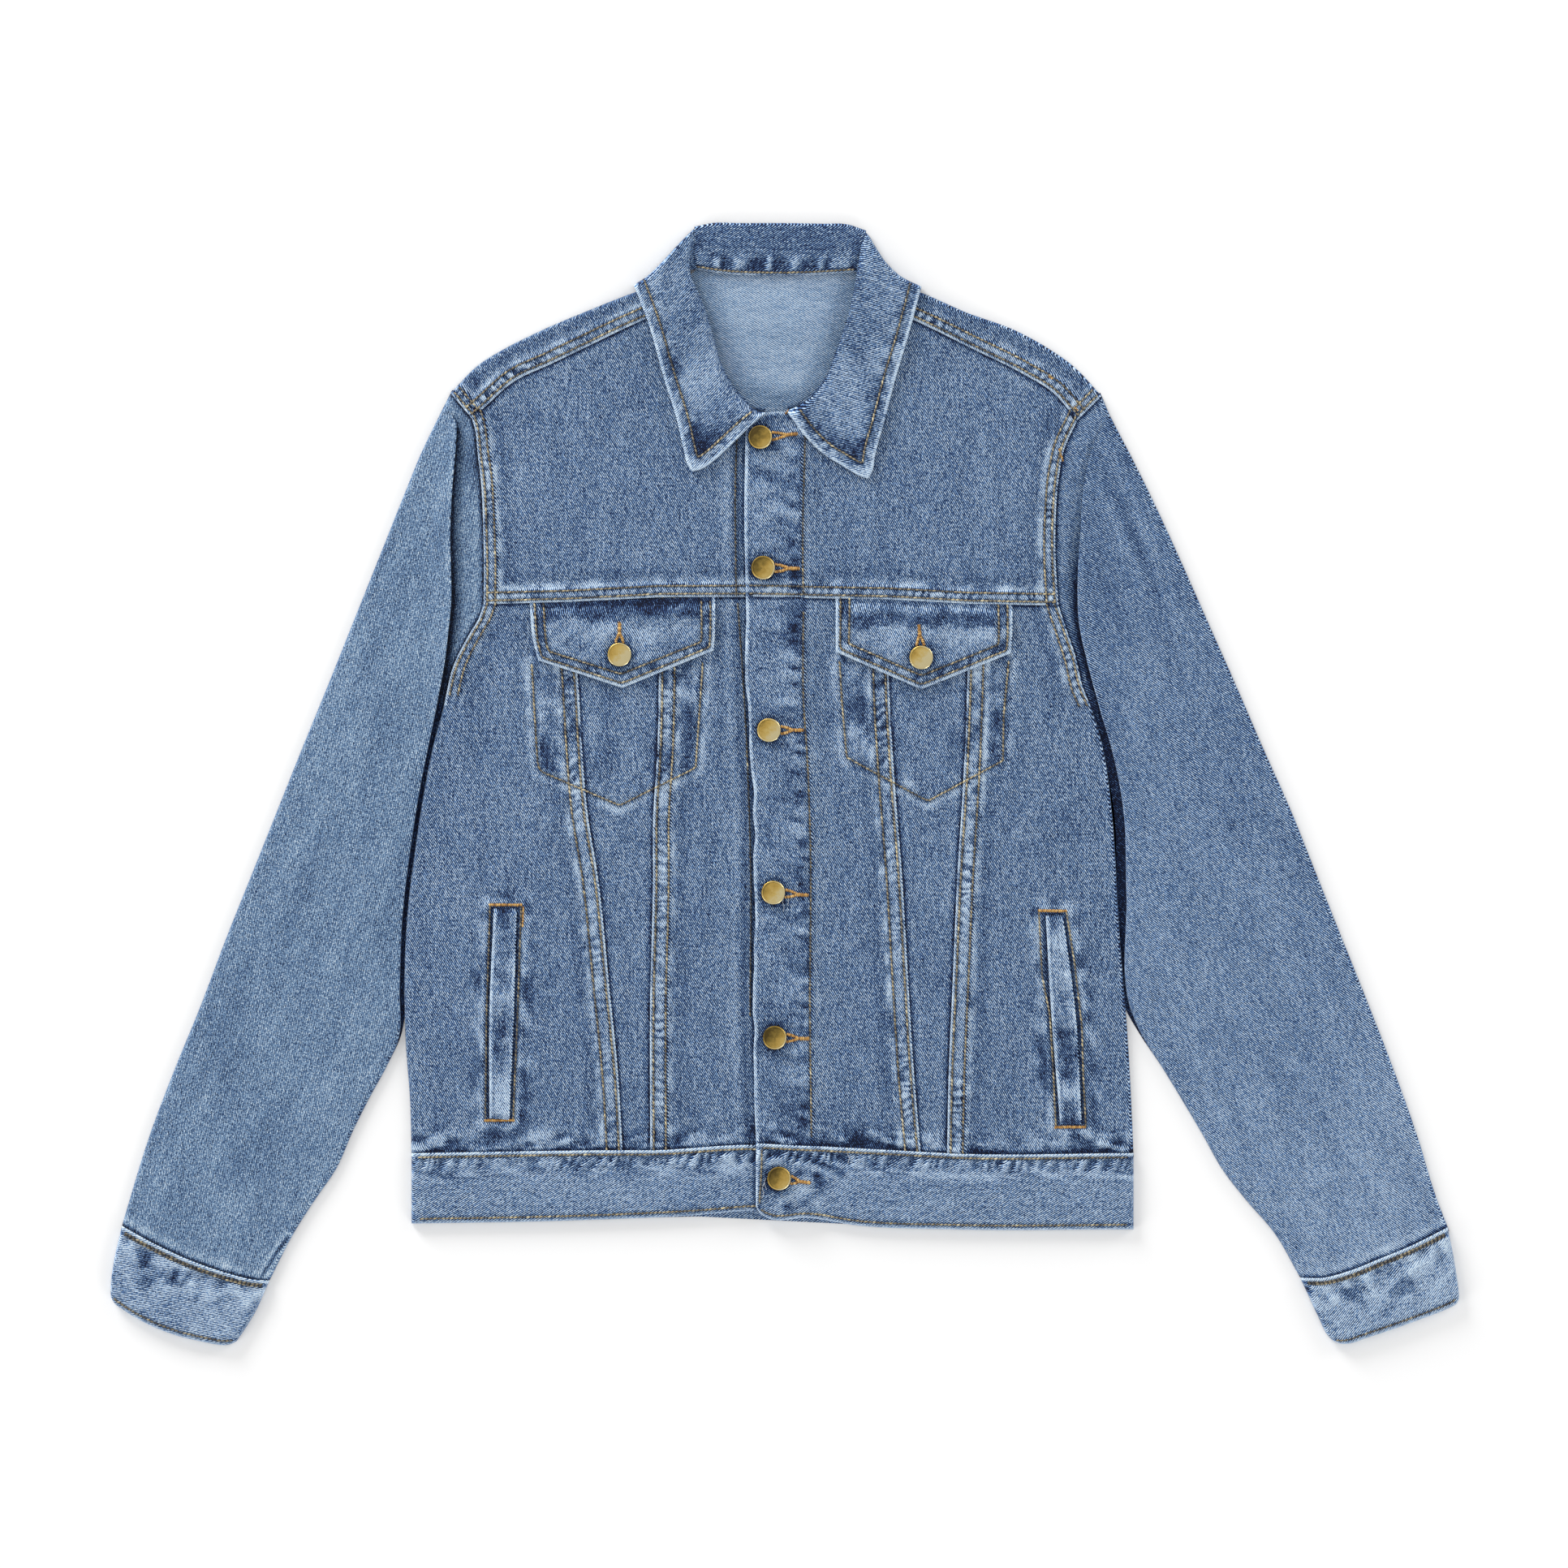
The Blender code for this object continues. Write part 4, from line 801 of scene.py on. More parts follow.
def makeWeltBed(panel, side, seed):
    # the slot that the hand pocket's welt sits in
    start, finish = (fine(seams[side][name], 40) for name in ("weltStart", "weltFinish"))
    gap = nearLine(panel.x, panel.y, np.concatenate([start, finish[::-1], start[:1]]))[0]
    # painted shadow along the edge of the slot
    panel.tone -= 0.95 * bell(gap, 0.8, 1.7)
    panel.tone += 0.42 * (0.8 + 0.5 * panel.spots(seed, 6.0, 9.0)) * bell(gap, 5.2, 1.5)
    panel.tone += 0.62 * (hard(1.7 * panel.spots(seed + 3, 7.0, 9.0, 0.5)) - 0.25) * bell(gap, 8.0, 5.0)
    panel.raiseTo(0.45 * bell(gap, 5.0, 2.6))
    below = bell(panel.y, -242, 5.0) * bell(panel.x, ways[side] * 197, 14)
    panel.tone -= 0.8 * below * (0.7 + 0.6 * panel.spots(seed + 1, 7.0, 4.0))


# Yokes
yoke = {
    "seeds": {"right": 300, "left": 400},
    "rows": (2.4, 7.9),
    "facingRows": {"right": fine(((-33.5, 127), (-34, 160), (-34, 215), (-33, 240)), 59),
                   "left": fine(((12.9, 126), (12.4, 160), (12.6, 190), (13.6, 222), (14, 246)), 59)},
}


def makeYoke(side):
    seam, base = seams[side], yoke["seeds"][side]
    low = np.array([seam[name][0] for name in ("underarm", "outer", "inner", "front")], float)
    armhole = fine(seam["armhole"][::-1])
    front = joined(fine(seam["yokeFront"], 120), fine(seam["neck"], 160))
    across = lanes(runOf(low)[-1], edgeLanes, fronts["endLanes"][side])
    up = lanes(0.5 * (runOf(armhole)[-1] + runOf(front)[-1]), edgeLanes, coverLanes)
    flat = patch(across, up, low, fine(seam["forward"][::-1]), armhole, front)
    panel = Cloth("frontYoke_" + side, flat, fronts["outsides"][side], ("high",))
    panel.fell("low", yoke["rows"], base + 1)
    panel.fell("start", fronts["armRows"], base + 11, halo=1.1)
    panel.under("high", base + 21)
    # pale patches above the yoke seam, which stands over the flap that is sewn in under it
    d, s = panel.at("low")
    panel.tone += (0.45 * blotches(s, d, base + 31, 4.5, 9.0) + 0.1) * bell(d, 12.0, 4.5)
    flap = fine(seam["flapTop"])[:, 0]
    over = soft(panel.x, flap.min() - 4, flap.min()) * fade(panel.x, flap.max(), flap.max() + 4)
    panel.higher(1.1 * over * fade(d, 6, 15))
    if side == "left":
        placketMarks(panel, base + 41, panel.to["finish"], placket["upper"], fade(panel.y, 244, 250))
        gap = nearLine(panel.x, panel.y, fine(seam["neck"], 60))[0]
        throat = soft(panel.x, -18, -13) * fade(panel.x, 4, 9)
        panel.tone += (0.9 * fade(gap, 0.8, 2.0) - 0.5 * bell(gap, 4.2, 1.2)) * throat
    else:
        overlapShade(panel, "yokeFront")
    panel.build("back" if side == "right" else "frontYoke_right", stands="front_yoke_" + side)
    panel.stitch("low", yoke["rows"], (1, 0))
    panel.stitch("start", fronts["armRows"])
    panel.stitchLine(yoke["facingRows"][side], -0.2)


# The back comes over the shoulders and is felled onto the yokes
shoulder = {"seeds": {"right": 500, "left": 600}, "rows": (2.6, 8.4), "armRows": (2.4, 7.4), "deep": 22.0}


def makeShoulder(side):
    seam, base = seams[side], shoulder["seeds"][side]
    low, high = fine(seam["forward"][::-1]), fine(seam["shoulder"][::-1])
    flat = patch(lanes(runOf(high)[-1], edgeLanes[:-6]),
                 lanes(shoulder["deep"], edgeLanes[:15], (0, 0.3, 0.8, 1.6, 2.8)), low, high)
    panel = Cloth("shoulder_" + side, flat, outerTop)
    panel.fell("low", shoulder["rows"], base + 1, rope=1.3, halo=0.9)
    panel.fell("start", shoulder["armRows"], base + 11, halo=0.6)
    panel.fold("high")
    panel.build()
    panel.stitch("low", shoulder["rows"])
    panel.stitch("start", shoulder["armRows"])


def makeBack():
    edges = {}
    for side, seam in seams.items():
        edges[side] = joined(fine(seam["side"][::-1]), fine(seam["underarm"][::-1], 80),
                             fine(seam["armhole"][::-1]),
                             np.array([seam["armhole"][0], seam["shoulder"][-1]], float))
    right, left = seams["right"]["shoulder"], seams["left"]["shoulder"]
    neck = ((-58, 363), (-32, 363), (-7, 363), (19, 363), (44, 363))
    top = joined(fine(right[::-1]), np.array((right[0], *neck, left[0]), float), fine(left))
    low = np.array([edges["right"][0], edges["left"][0]])
    flat = patch(sparse(runOf(top)[-1]), sparse(640), low, top, edges["right"], edges["left"])
    flat = flat + (flat.mean(axis=(0, 1)) - flat) * 0.012  # its edges stand inside the side folds
    panel = Cloth("backSheet", flat, lambda x, y: backLevel(x, y) - 0.6, grain=math.pi / 2,
                  material=denimInside, tone=0.05)
    # painted shade: the inside is darker round the neck, where the collar stands over it
    stand = ((-60, 356), (-48, 311), (-28, 275), (-6, 262), (16, 268), (35, 302), (46, 356))
    gap = nearLine(panel.x, panel.y, stand)[0]
    panel.tone -= 0.35 * fade(gap, 0, 16) * soft(panel.y, 200, 250)
    panel.build("floor", stands="back")


# Sleeves, each an upper half, the underarm part beside the armhole, and a lower half
sleeve = {
    "seeds": {"right": 700, "left": 800},
    "turn": 0.38,  # how far the yarns lean outwards
    "level": 3.0,
    "creaseStart": {"right": (7, 14), "left": (40, 90)},  # where the crease begins, and over what length
    "headShade": {"right": 0.45, "left": 0.15},
}


def makeSleeve(side):
    seam, way, base = seams[side], ways[side], sleeve["seeds"][side]
    outer, inner = fine(seam["sleeveOuter"][::-1]), fine(seam["sleeveInner"][::-1])
    cuff, crease = fine(seam["cuffTop"]), fine(seam["crease"])
    tall = 0.5 * (runOf(outer)[-1] + runOf(inner)[-1])
    up = lanes(tall, (0, 1.2, 2.4), (0, 0.4, 0.9, 1.6, 2.6))
    flat = patch(lanes(150, foldLanes, foldLanes), up, cuff, crease, outer, inner)
    turn = way * sleeve["turn"]
    upper = Cloth("sleeveUpper_" + side, flat, sleeve["level"], ("low",), turn, denimSleeves[side])
    start, finish = upper.to["start"], upper.to["finish"]
    past = soft(upper.to["high"], 0, 45)
    upper.z = 3.2 + arch(start / (start + finish), 0.7) * (1.1 * past + 2.0 * (1 - past))
    upper.fold("start", tone=-0.12)
    upper.fold("finish", tone=-0.3)
    # the crease by the armhole, and soft folds down the sleeve
    d, s = upper.at("high")
    first, reach = sleeve["creaseStart"][side]
    begun = soft(s, first, first + reach)
    upper.z += 0.9 * (1 - past) * begun * soft(start, 2, 9) * soft(finish, 0, 6)
    upper.drop += 1.5 * roundOver(d, 2.2) * begun
    upper.skirts["high"] = (1.0, begun)
    # painted highlight just inside the crease's edge, and painted shade right at it
    upper.tone += (0.2 * bell(d, 5.0, 5.0) - 0.2 * fade(d, 0.0, 1.2)) * begun
    wave = upper.spots(base + 1, 26.0, 120.0, turn)
    upper.drop -= 0.5 * wave * unit(start / 12) * unit(finish / 12)
    upper.tone += 0.10 * wave + 0.08 * upper.spots(base + 2, 9.0, 30.0, turn) + 0.10
    if side == "left":
        # paler towards the cuff, with a faint fold below the shoulder: painted shade in its hollow and
        # painted light beside it
        upper.tone += 0.30 * fade(upper.y, -300, -120) - 0.18 * soft(upper.y, 60, 170)
        gap, run = nearLine(upper.x, upper.y, fine(((212, 240), (226, 205), (246, 160), (268, 100)), 40))
        faint = soft(run, 0, 50) * fade(run, 80, 150)
        upper.tone += (0.2 * bell(gap, 8, 5) - 0.24 * bell(gap, 0, 5)) * faint
        upper.drop += 0.6 * bell(gap, 0, 6) * faint
    else:
        # a small crease above the inner end of the cuff, only painted: a line of shade with painted light
        # beside it
        gap = nearLine(upper.x, upper.y, ((-343, -312), (-352, -324), (-361, -339)))[0]
        upper.tone += 0.5 * bell(gap, 2.6, 1.4) - 0.75 * bell(gap, 0, 1.2)
    d, s = upper.at("low")
    upper.under("low", base + 3, 0.95, pale=0.0)
    upper.tone += 0.5 * (0.8 + 0.6 * blotches(s, d, base + 4, 3.5, 50.0)) * bell(d, 4.2, 3.2)
    upper.build("backSheet", stands="sleeve_" + side)
    # the underarm part that shows between the crease and the armhole
    tip = np.array([seam["shoulder"][-1], seam["armhole"][0]], float)
    head = joined(tip, fine(seam["armhole"]), fine(seam["underarm"]))
    steps = np.linspace(0, 14, len(crease))[:, None]
    low = crease + np.array([way * 9.0, 0.0]) * np.minimum(1, steps) * np.minimum(1, steps[::-1])
    flat = patch(lanes(runOf(head)[-1]), lanes(30, (0.0,), coverLanes), low, head)
    part = Cloth("sleeveHead_" + side, flat, outerTop, ("high",), turn, denimSleeves[side], tuck=2.5)
    gap, run = nearLine(part.x, part.y, crease)
    total = run / runOf(crease)[-1]
    begun = soft(run, first, first + reach)
    part.z = sleeve["level"] - 1.7 * fade(gap, 0, 11) * begun
    # painted shade below the shoulder, and a painted shadow along the crease where the upper half lies over
    # it
    darker = sleeve["headShade"][side] * fade(part.to["high"], 3, 16)
    part.tone -= darker * fade(part.y, 222, 246) * soft(part.y, 180, 225)
    dark = begun if side == "right" else begun * (0.35 + 0.65 * soft(run, 85, 135))
    part.tone -= ((0.95 + 0.5 * total) * fade(gap, 0.5, 2.0 + 3.4 * total) + 0.3 * fade(gap, 2, 12)) * dark
    part.tone += 0.10
    part.under("high", base + 6, 0.8, pale=0.15)
    part.fold("start", radius=4.0)
    part.build("backSheet")
    # the lower half, which also lines the gap beside the body, painted near-black there as shade
    spread = soft(inner[:, 1], -190, -120) * 6.5
    aside = inner - np.outer(spread, (way, 0.0))
    head = joined(outer[-1:], head[2:])
    flat = patch(sparse(150), sparse(tall), cuff, head, outer, aside)
    lower = Cloth("sleeveUnder_" + side, flat, layers["ground"], grain=turn)
    gap = nearLine(lower.x, lower.y, inner)[0]
    lower.tone -= 1.3 * fade(gap, 8, 14) * soft(lower.y, -205, -170)
    lower.build("floor")


cuffs = {
    "seeds": {"right": 900, "left": 1000},
    "tone": {"right": 0.36, "left": 0.50},
    "level": 4.3, "puff": 1.0, "deep": 52, "wide": 100,
    "grooves": (3.0, 4.4), "rows": (3.1, 4.5), "endRow": 3.8,
}


def makeCuff(side):
    seam, base = seams[side], cuffs["seeds"][side]
    lines = [fine(seam[name]) for name in ("cuffEnd", "cuffTop", "cuffOuter", "cuffInner")]
    turn = ways[side] * sleeve["turn"] + math.pi / 2
    across = lanes(cuffs["wide"], foldLanes, foldLanes)
    flat = patch(across, lanes(cuffs["deep"], foldLanes, edgeLanes[:-6]), *lines)
    cuff = Cloth("cuffFront_" + side, flat, cuffs["level"], grain=turn, tone=cuffs["tone"][side])
    start, finish = cuff.to["start"], cuff.to["finish"]
    cuff.z += cuffs["puff"] * arch(start / (start + finish), 0.5)
    for edge in ("low", "start", "finish"):
        cuff.fold(edge, radius=2.0, tone=-0.05)
    cuff.edge("high", base + 1, depth=2.4)
    d, s = cuff.at("high")
    for row in cuffs["grooves"]:
        cuff.groove("high", row, 0.55, 1.0, 0.15, 0.5)
    lump = hard(1.5 * blotches(s + 0.2 * d, d, base + 2, 4.6, 16.0))
    lump += 0.6 * blotches(s, d, base + 3, 12.0, 4.5, 0.3)
    cuff.pucker(lump, soft(d, 4.5, 6.5) * fade(d, 12, 26), 0.75, high=0.5)
    cuff.tone += 0.12 + 0.2 * blotches(s, d, base + 4, 14.0, 18.0)
    cuff.tone += 0.35 * unit(1.6 * blotches(s, d, base + 6, 18.0, 3.6, 0.5) - 0.4) * soft(d, 14, 22)
    navy = unit(2.6 * blotches(s + 0.3 * d, d, base + 8, 7.5, 11.0) - 0.55)
    cuff.tone -= 0.8 * navy * soft(d, 5, 8) * fade(d, 24, 44)
    d, s = cuff.at("low")
    cuff.groove("low", cuffs["endRow"], 0.5)
    cuff.tone += 0.35 * fade(d, 0.5, 3.0) * (0.8 + 0.6 * blotches(s, d, base + 5, 3.0, 30.0))
    cuff.build("sleeveUnder_" + side, "cuff_" + side)
    cuff.stitch("high", cuffs["rows"], (2, 2), -0.18)
    cuff.stitch("low", (cuffs["endRow"],), (4, 4), -0.15)
    flat = patch(sparse(cuffs["wide"]), sparse(cuffs["deep"]), *lines)
    Cloth("cuffBack_" + side, flat, 0.2, grain=turn, tone=0.2).build("floor")


# Waistband: two fronts, the left one with the tab, and a back
band = {
    "seeds": {"right": 1100, "left": 1200},
    "level": 4.4, "tabRise": 2.3, "deep": 50, "step": 1.5,
    "rowTop": 2.9, "rowLow": 3.6, "rowEnd": 4.2,
    "hemTone": {"right": 0.22, "left": 0.4},
    # creases round the tab's button, painted as dark lines of shade and wear with paler cloth beside, and
    # their widths
    "creaseShadeAndWear": ((((-12, -255.5), (4, -255), (16, -257), (27, -262), (40, -268.5)), 2.4),
                (((21, -269), (24, -275), (21, -282), (13, -288), (2, -291)), 3.0)),
}


def makeBand(side):
    seam, base = seams[side], band["seeds"][side]
    low, high = fine(seam["hem"]), fine(seam["waist"])
    if side == "right":
        low[-1, 0] = high[-1, 0] = 8  # the end under the tab
    ends = (foldLanes, (0.0,)) if side == "right" else (foldLanes + (4.2, 5.6), foldLanes)
    across = lanes(runOf(high)[-1], *ends, step=band["step"])
    up = lanes(band["deep"], (0, 0.3, 0.7, 1.4, 2.4, 3.2, 4.0, 5.0), edgeLanes[:9], step=band["step"])
    flat = patch(across, up, low, high)
    sheet = Cloth("waistbandFront_" + side, flat, band["level"], grain=math.pi / 2, tone=0.25)
    if side == "left":
        sheet.higher(band["tabRise"] * fade(sheet.x, 9, 26))
    sheet.fold("low", radius=1.8, low=0.4, tone=0.15)
    sheet.edge("high", base + 1, depth=1.8)
    sheet.groove("high", band["rowTop"], 0.6, deep=0.2, deepWide=0.6)
    d, s = sheet.at("high")
    turn = 2 * math.pi * (s + 0.3 * d) / 7.6 + 7.0 * blotches(s, d, base + 3, 12.0, 18.0)
    lump = hard(0.9 * np.sin(turn) + 1.2 * blotches(s, d, base + 2, 5.0, 7.0))
    close = soft(d, 3.4, 5.0) * fade(d, 8, 16) * (0.75 + 0.5 * blotches(s, d, base + 9, 30.0, 90.0))
    sheet.pucker(lump, close, 0.75, -0.05, 0.55)
    ridge = hard(1.6 * blotches(s, d, base + 5, 15.0, 3.4, 0.1))
    sheet.tone += 0.5 * (ridge + 0.15) * bell(d, 14.5 + 2.0 * blotches(s, d, base + 10, 20.0, 90.0), 4.0)
    sheet.tone += 0.18 * blotches(s, d, base + 6, 30.0, 4.0, 0.1) * bell(d, 17, 6)
    sheet.groove("low", band["rowLow"], 0.5)
    sheet.tone += band["hemTone"][side] * fade(sheet.to["low"], 0.8, 3.0)
    if side == "right":
        sheet.fold("start")
        # painted shadow where this end goes in under the tab
        sheet.tone -= 0.9 * soft(sheet.x, -23.5, -20.5)
    else:
        sheet.fold("finish")
        sheet.edge("start", base + 7, depth=2.2, pale=0.9, radius=1.2)
        sheet.groove("start", band["rowEnd"], 0.5, where=(sheet.to["high"] > 2) * (sheet.to["low"] > 2))
        # blotches round the tab's button, and creases painted as dark lines of shade and wear
        close = bell(sheet.x, 2, 26) * bell(sheet.y, -272, 16) * soft(sheet.to["start"], 5, 8)
        sheet.tone += (0.85 * hard(1.8 * sheet.spots(base + 8, 10.0, 7.0, 0.4)) - 0.42) * close
        ragged = 0.75 + 0.5 * sheet.spots(base + 12, 4.0, 3.0, 0.5)
        for rows, wide in band["creaseShadeAndWear"]:
            gap = nearLine(sheet.x, sheet.y, fine(rows, 30))[0]
            sheet.tone -= (0.75 * bell(gap, 0, wide) - 0.35 * bell(gap, 2.2 * wide, wide)) * ragged
    sheet.build("backSheet", {"right": None, "left": "waistband"}[side])
    sheet.stitch("high", (band["rowTop"],), (3, 3))
    sheet.stitch("low", (band["rowLow"],), (5, 3))
    if side == "left":
        sheet.stitch("start", (band["rowEnd"],), (5, 3))


def makeBandBack():
    right, left = seams["right"], seams["left"]
    low = np.array([right["hem"][0], (-60, -298), (116, -307), left["hem"][-1]], float)
    high = np.array([right["waist"][0], left["waist"][-1]], float)
    flat = patch(sparse(500), sparse(band["deep"]), low, high)
    Cloth("waistbandBack", flat, layers["ground"], grain=math.pi / 2, tone=0.15).build("floor")


# Chest pocket flaps
flaps = {"seeds": {"right": 1300, "left": 1400}, "rows": (3.4, 9.6), "rise": 4.2, "deep": 46, "step": 1.4}


def makeFlap(side):
    seam, base = seams[side], flaps["seeds"][side]
    corners = np.array(seam["flapLow"], float)
    low = joined(*(np.linspace(a, b, 60) for a, b in zip(corners[:-1], corners[1:])))
    high, start, finish = (fine(seam[name]) for name in ("flapTop", "flapStart", "flapFinish"))
    across = lanes(runOf(low)[-1], edgeLanes, edgeLanes, flaps["step"])
    up = lanes(flaps["deep"], edgeLanes, (0, 1.0, 2.2, 3.6), flaps["step"])
    flap = Cloth("pocketFlap_" + side, patch(across, up, low, high, start, finish),
                 lambda x, y: frontLevel(x, y) + flaps["rise"], ("high",))
    free = ("start", "low", "finish")
    for k, edge in enumerate(free):
        d, s = flap.at(edge)
        seed = base + 10 * k
        flap.edge(edge, seed, depth=1.6, pale=1.1, radius=1.1)
        flap.tone += 0.55 * bell(d, 2.3, 0.9)
        others = np.minimum.reduce([flap.to[other] for other in free if other != edge])
        between = soft(d, 2.6, 4.4) * fade(d, 8.0, 10.0) * soft(others, 2.0, 7.0)
        flap.pucker(hard(1.7 * blotches(s + 0.4 * d, d, seed + 1, 3.4, 12.0)), between, 0.5, high=0.2)
        for row in flaps["rows"]:
            flap.groove(edge, row, 0.7, deep=0.2, where=soft(others, row - 0.6, row + 0.3))
    # a painted shadow right under the yoke seam, a dark band below it, pale middle and worn patches
    d, s = flap.at("high")
    ragged = d + 3.0 * blotches(s, d, base + 41, 8.0, 40.0)
    darkBand = fade(ragged, 8.5, 12.5)
    if side == "left":
        middle = 15.0 - 0.06 * (flap.x - 35)
        darkBand = soft(ragged, middle - 9, middle - 4) * fade(ragged, middle + 2, middle + 5)
    darkBand = darkBand * soft(flap.to["start"], 8, 13) * soft(flap.to["finish"], 8, 13)
    flap.tone -= (0.75 + 0.4 * blotches(s, d, base + 45, 6.0, 5.0)) * darkBand + 0.5 * fade(d, 0.2, 2.2)
    body = soft(flap.to["low"], 8, 12) * soft(flap.to["start"], 8, 12) * soft(flap.to["finish"], 8, 12)
    pale = 0.2 + 0.06 * ways[side] + 0.3 * bell(d, 20, 6) + 0.3 * flap.spots(base + 44, 3.2, 16.0, -0.9)
    flap.tone += 0.26 * blotches(s, d, base + 42, 10.0, 14.0, 0.5) + pale * body
    flap.drop += 1.5 * fade(d, 0, 7)
    flap.drop -= 0.8 * blotches(s, d, base + 43, 16.0, 14.0) * soft(flap.to["low"], 5, 14) * soft(d, 3, 9)
    flap.build("frontWedge_" + side, stands="pocket_flap_" + side)
    for row in flaps["rows"]:
        flap.stitchLine(mitred(flap.row("start", row)[::-1], flap.row("low", row), flap.row("finish", row)))


def mitred(*lines):
    # lines that run into each other, cut where they cross
    out = [lines[0]]
    for line in lines[1:]:
        gaps = np.linalg.norm(out[-1][:, None] - line[None], axis=-1)
        i, j = np.unravel_index(np.argmin(gaps), gaps.shape)
        out[-1] = out[-1][: i + 1]
        out.append(line[j:])
    return np.concatenate(out)


# Hand pocket welts
welts = {"seeds": {"right": 1500, "left": 1600}, "rise": 2.5, "wide": 15.0, "long": 145, "step": 1.2}


def makeWelt(side):
    seam, base = seams[side], welts["seeds"][side]
    across = lanes(welts["wide"], (0, 0.3, 0.7, 1.3), (0, 0.3, 0.7, 1.3), welts["step"])
    up = lanes(welts["long"], (0, 0.5, 1.2), (0, 0.5, 1.2))
    flat = patch(across, up, start=fine(seam["weltStart"]), finish=fine(seam["weltFinish"]))
    welt = Cloth("pocketWelt_" + side, flat, lambda x, y: frontLevel(x, y) + welts["rise"])
    welt.edge("start", base, depth=1.3, pale=0.9)
    welt.edge("finish", base + 10, depth=1.3, pale=0.6)
    d, s = welt.at("start")
    lump = blotches(s, d, base + 1, 13.0, 20.0) + 0.5 * blotches(s, d, base + 2, 5.0, 9.0)
    welt.tone += (0.85 * lump + 0.06) * soft(d, 2, 5) + 0.5 * bell(welt.to["finish"], 3.6, 1.0)
    welt.drop -= 0.35 * lump * soft(d, 1, 4)
    # both ends dip into the slot and are painted darker there as shade
    for edge in ("low", "high"):
        welt.tone -= 0.6 * fade(welt.to[edge], 0.5, 5.0)
        welt.drop += 1.0 * fade(welt.to[edge], 0.0, 4.0)
    welt.build("frontSide_" + side, stands="welt_" + side)


# Collar: its sewn edge and its roll line from the centre front to the back, across, up and height
collar = {
    "right": {
        "seam": ((-14, 257.3, 3.6), (-19.2, 257.4, 3.6), (-39.5, 266.8, 3.8), (-54.3, 283.7, 4.0),
                 (-64.4, 305, 4.9), (-72.1, 326, 5.8), (-71.7, 341, 5.9), (-71, 351.9, 5.2),
                 (-62, 356.2, 4.6), (-58.4, 356.4, 4.4)),
        "roll": ((-13, 259.5, 6.2), (-19, 260.8, 6.3), (-31, 270, 6.2), (-42, 287, 5.9),
                 (-49.5, 311, 6.5), (-57, 334, 7.6), (-65, 353, 7.9), (-65, 366, 6.6), (-62, 378, 5.2),
                 (-59.5, 386.6, 2.6)),
    },
    "left": {
        "seam": ((2.5, 259.4, 3.6), (12.2, 260.7, 3.6), (22.2, 262.2, 3.8), (40.2, 278.9, 4.0),
                 (51, 302.4, 4.9), (58.2, 326, 5.8), (57.9, 340, 5.9), (57.2, 351.9, 5.2),
                 (48.5, 356.2, 4.6), (44.6, 356.4, 4.4)),
        "roll": ((1, 261, 6.2), (8, 263.5, 6.3), (16, 268, 6.0), (27, 280, 5.6), (36, 302, 6.2),
                 (44, 326, 7.6), (48.5, 347, 7.9), (51, 363, 6.6), (52.6, 374, 5.2), (53.5, 384.2, 2.6)),
    },
    "seeds": {"right": 1700, "left": 1800},
    "rise": 4.3,  # of the leaves over the fronts
    "deep": 33,  # the stand at the back
    "row": 8.2,
    # along each edge: how pale its marks are, and by how much all of it is, then how dark past the stitches
    "wear": {"high": (0.5, -0.06, 0.08), "start": (0.62, 0.3, 0.3)},
}


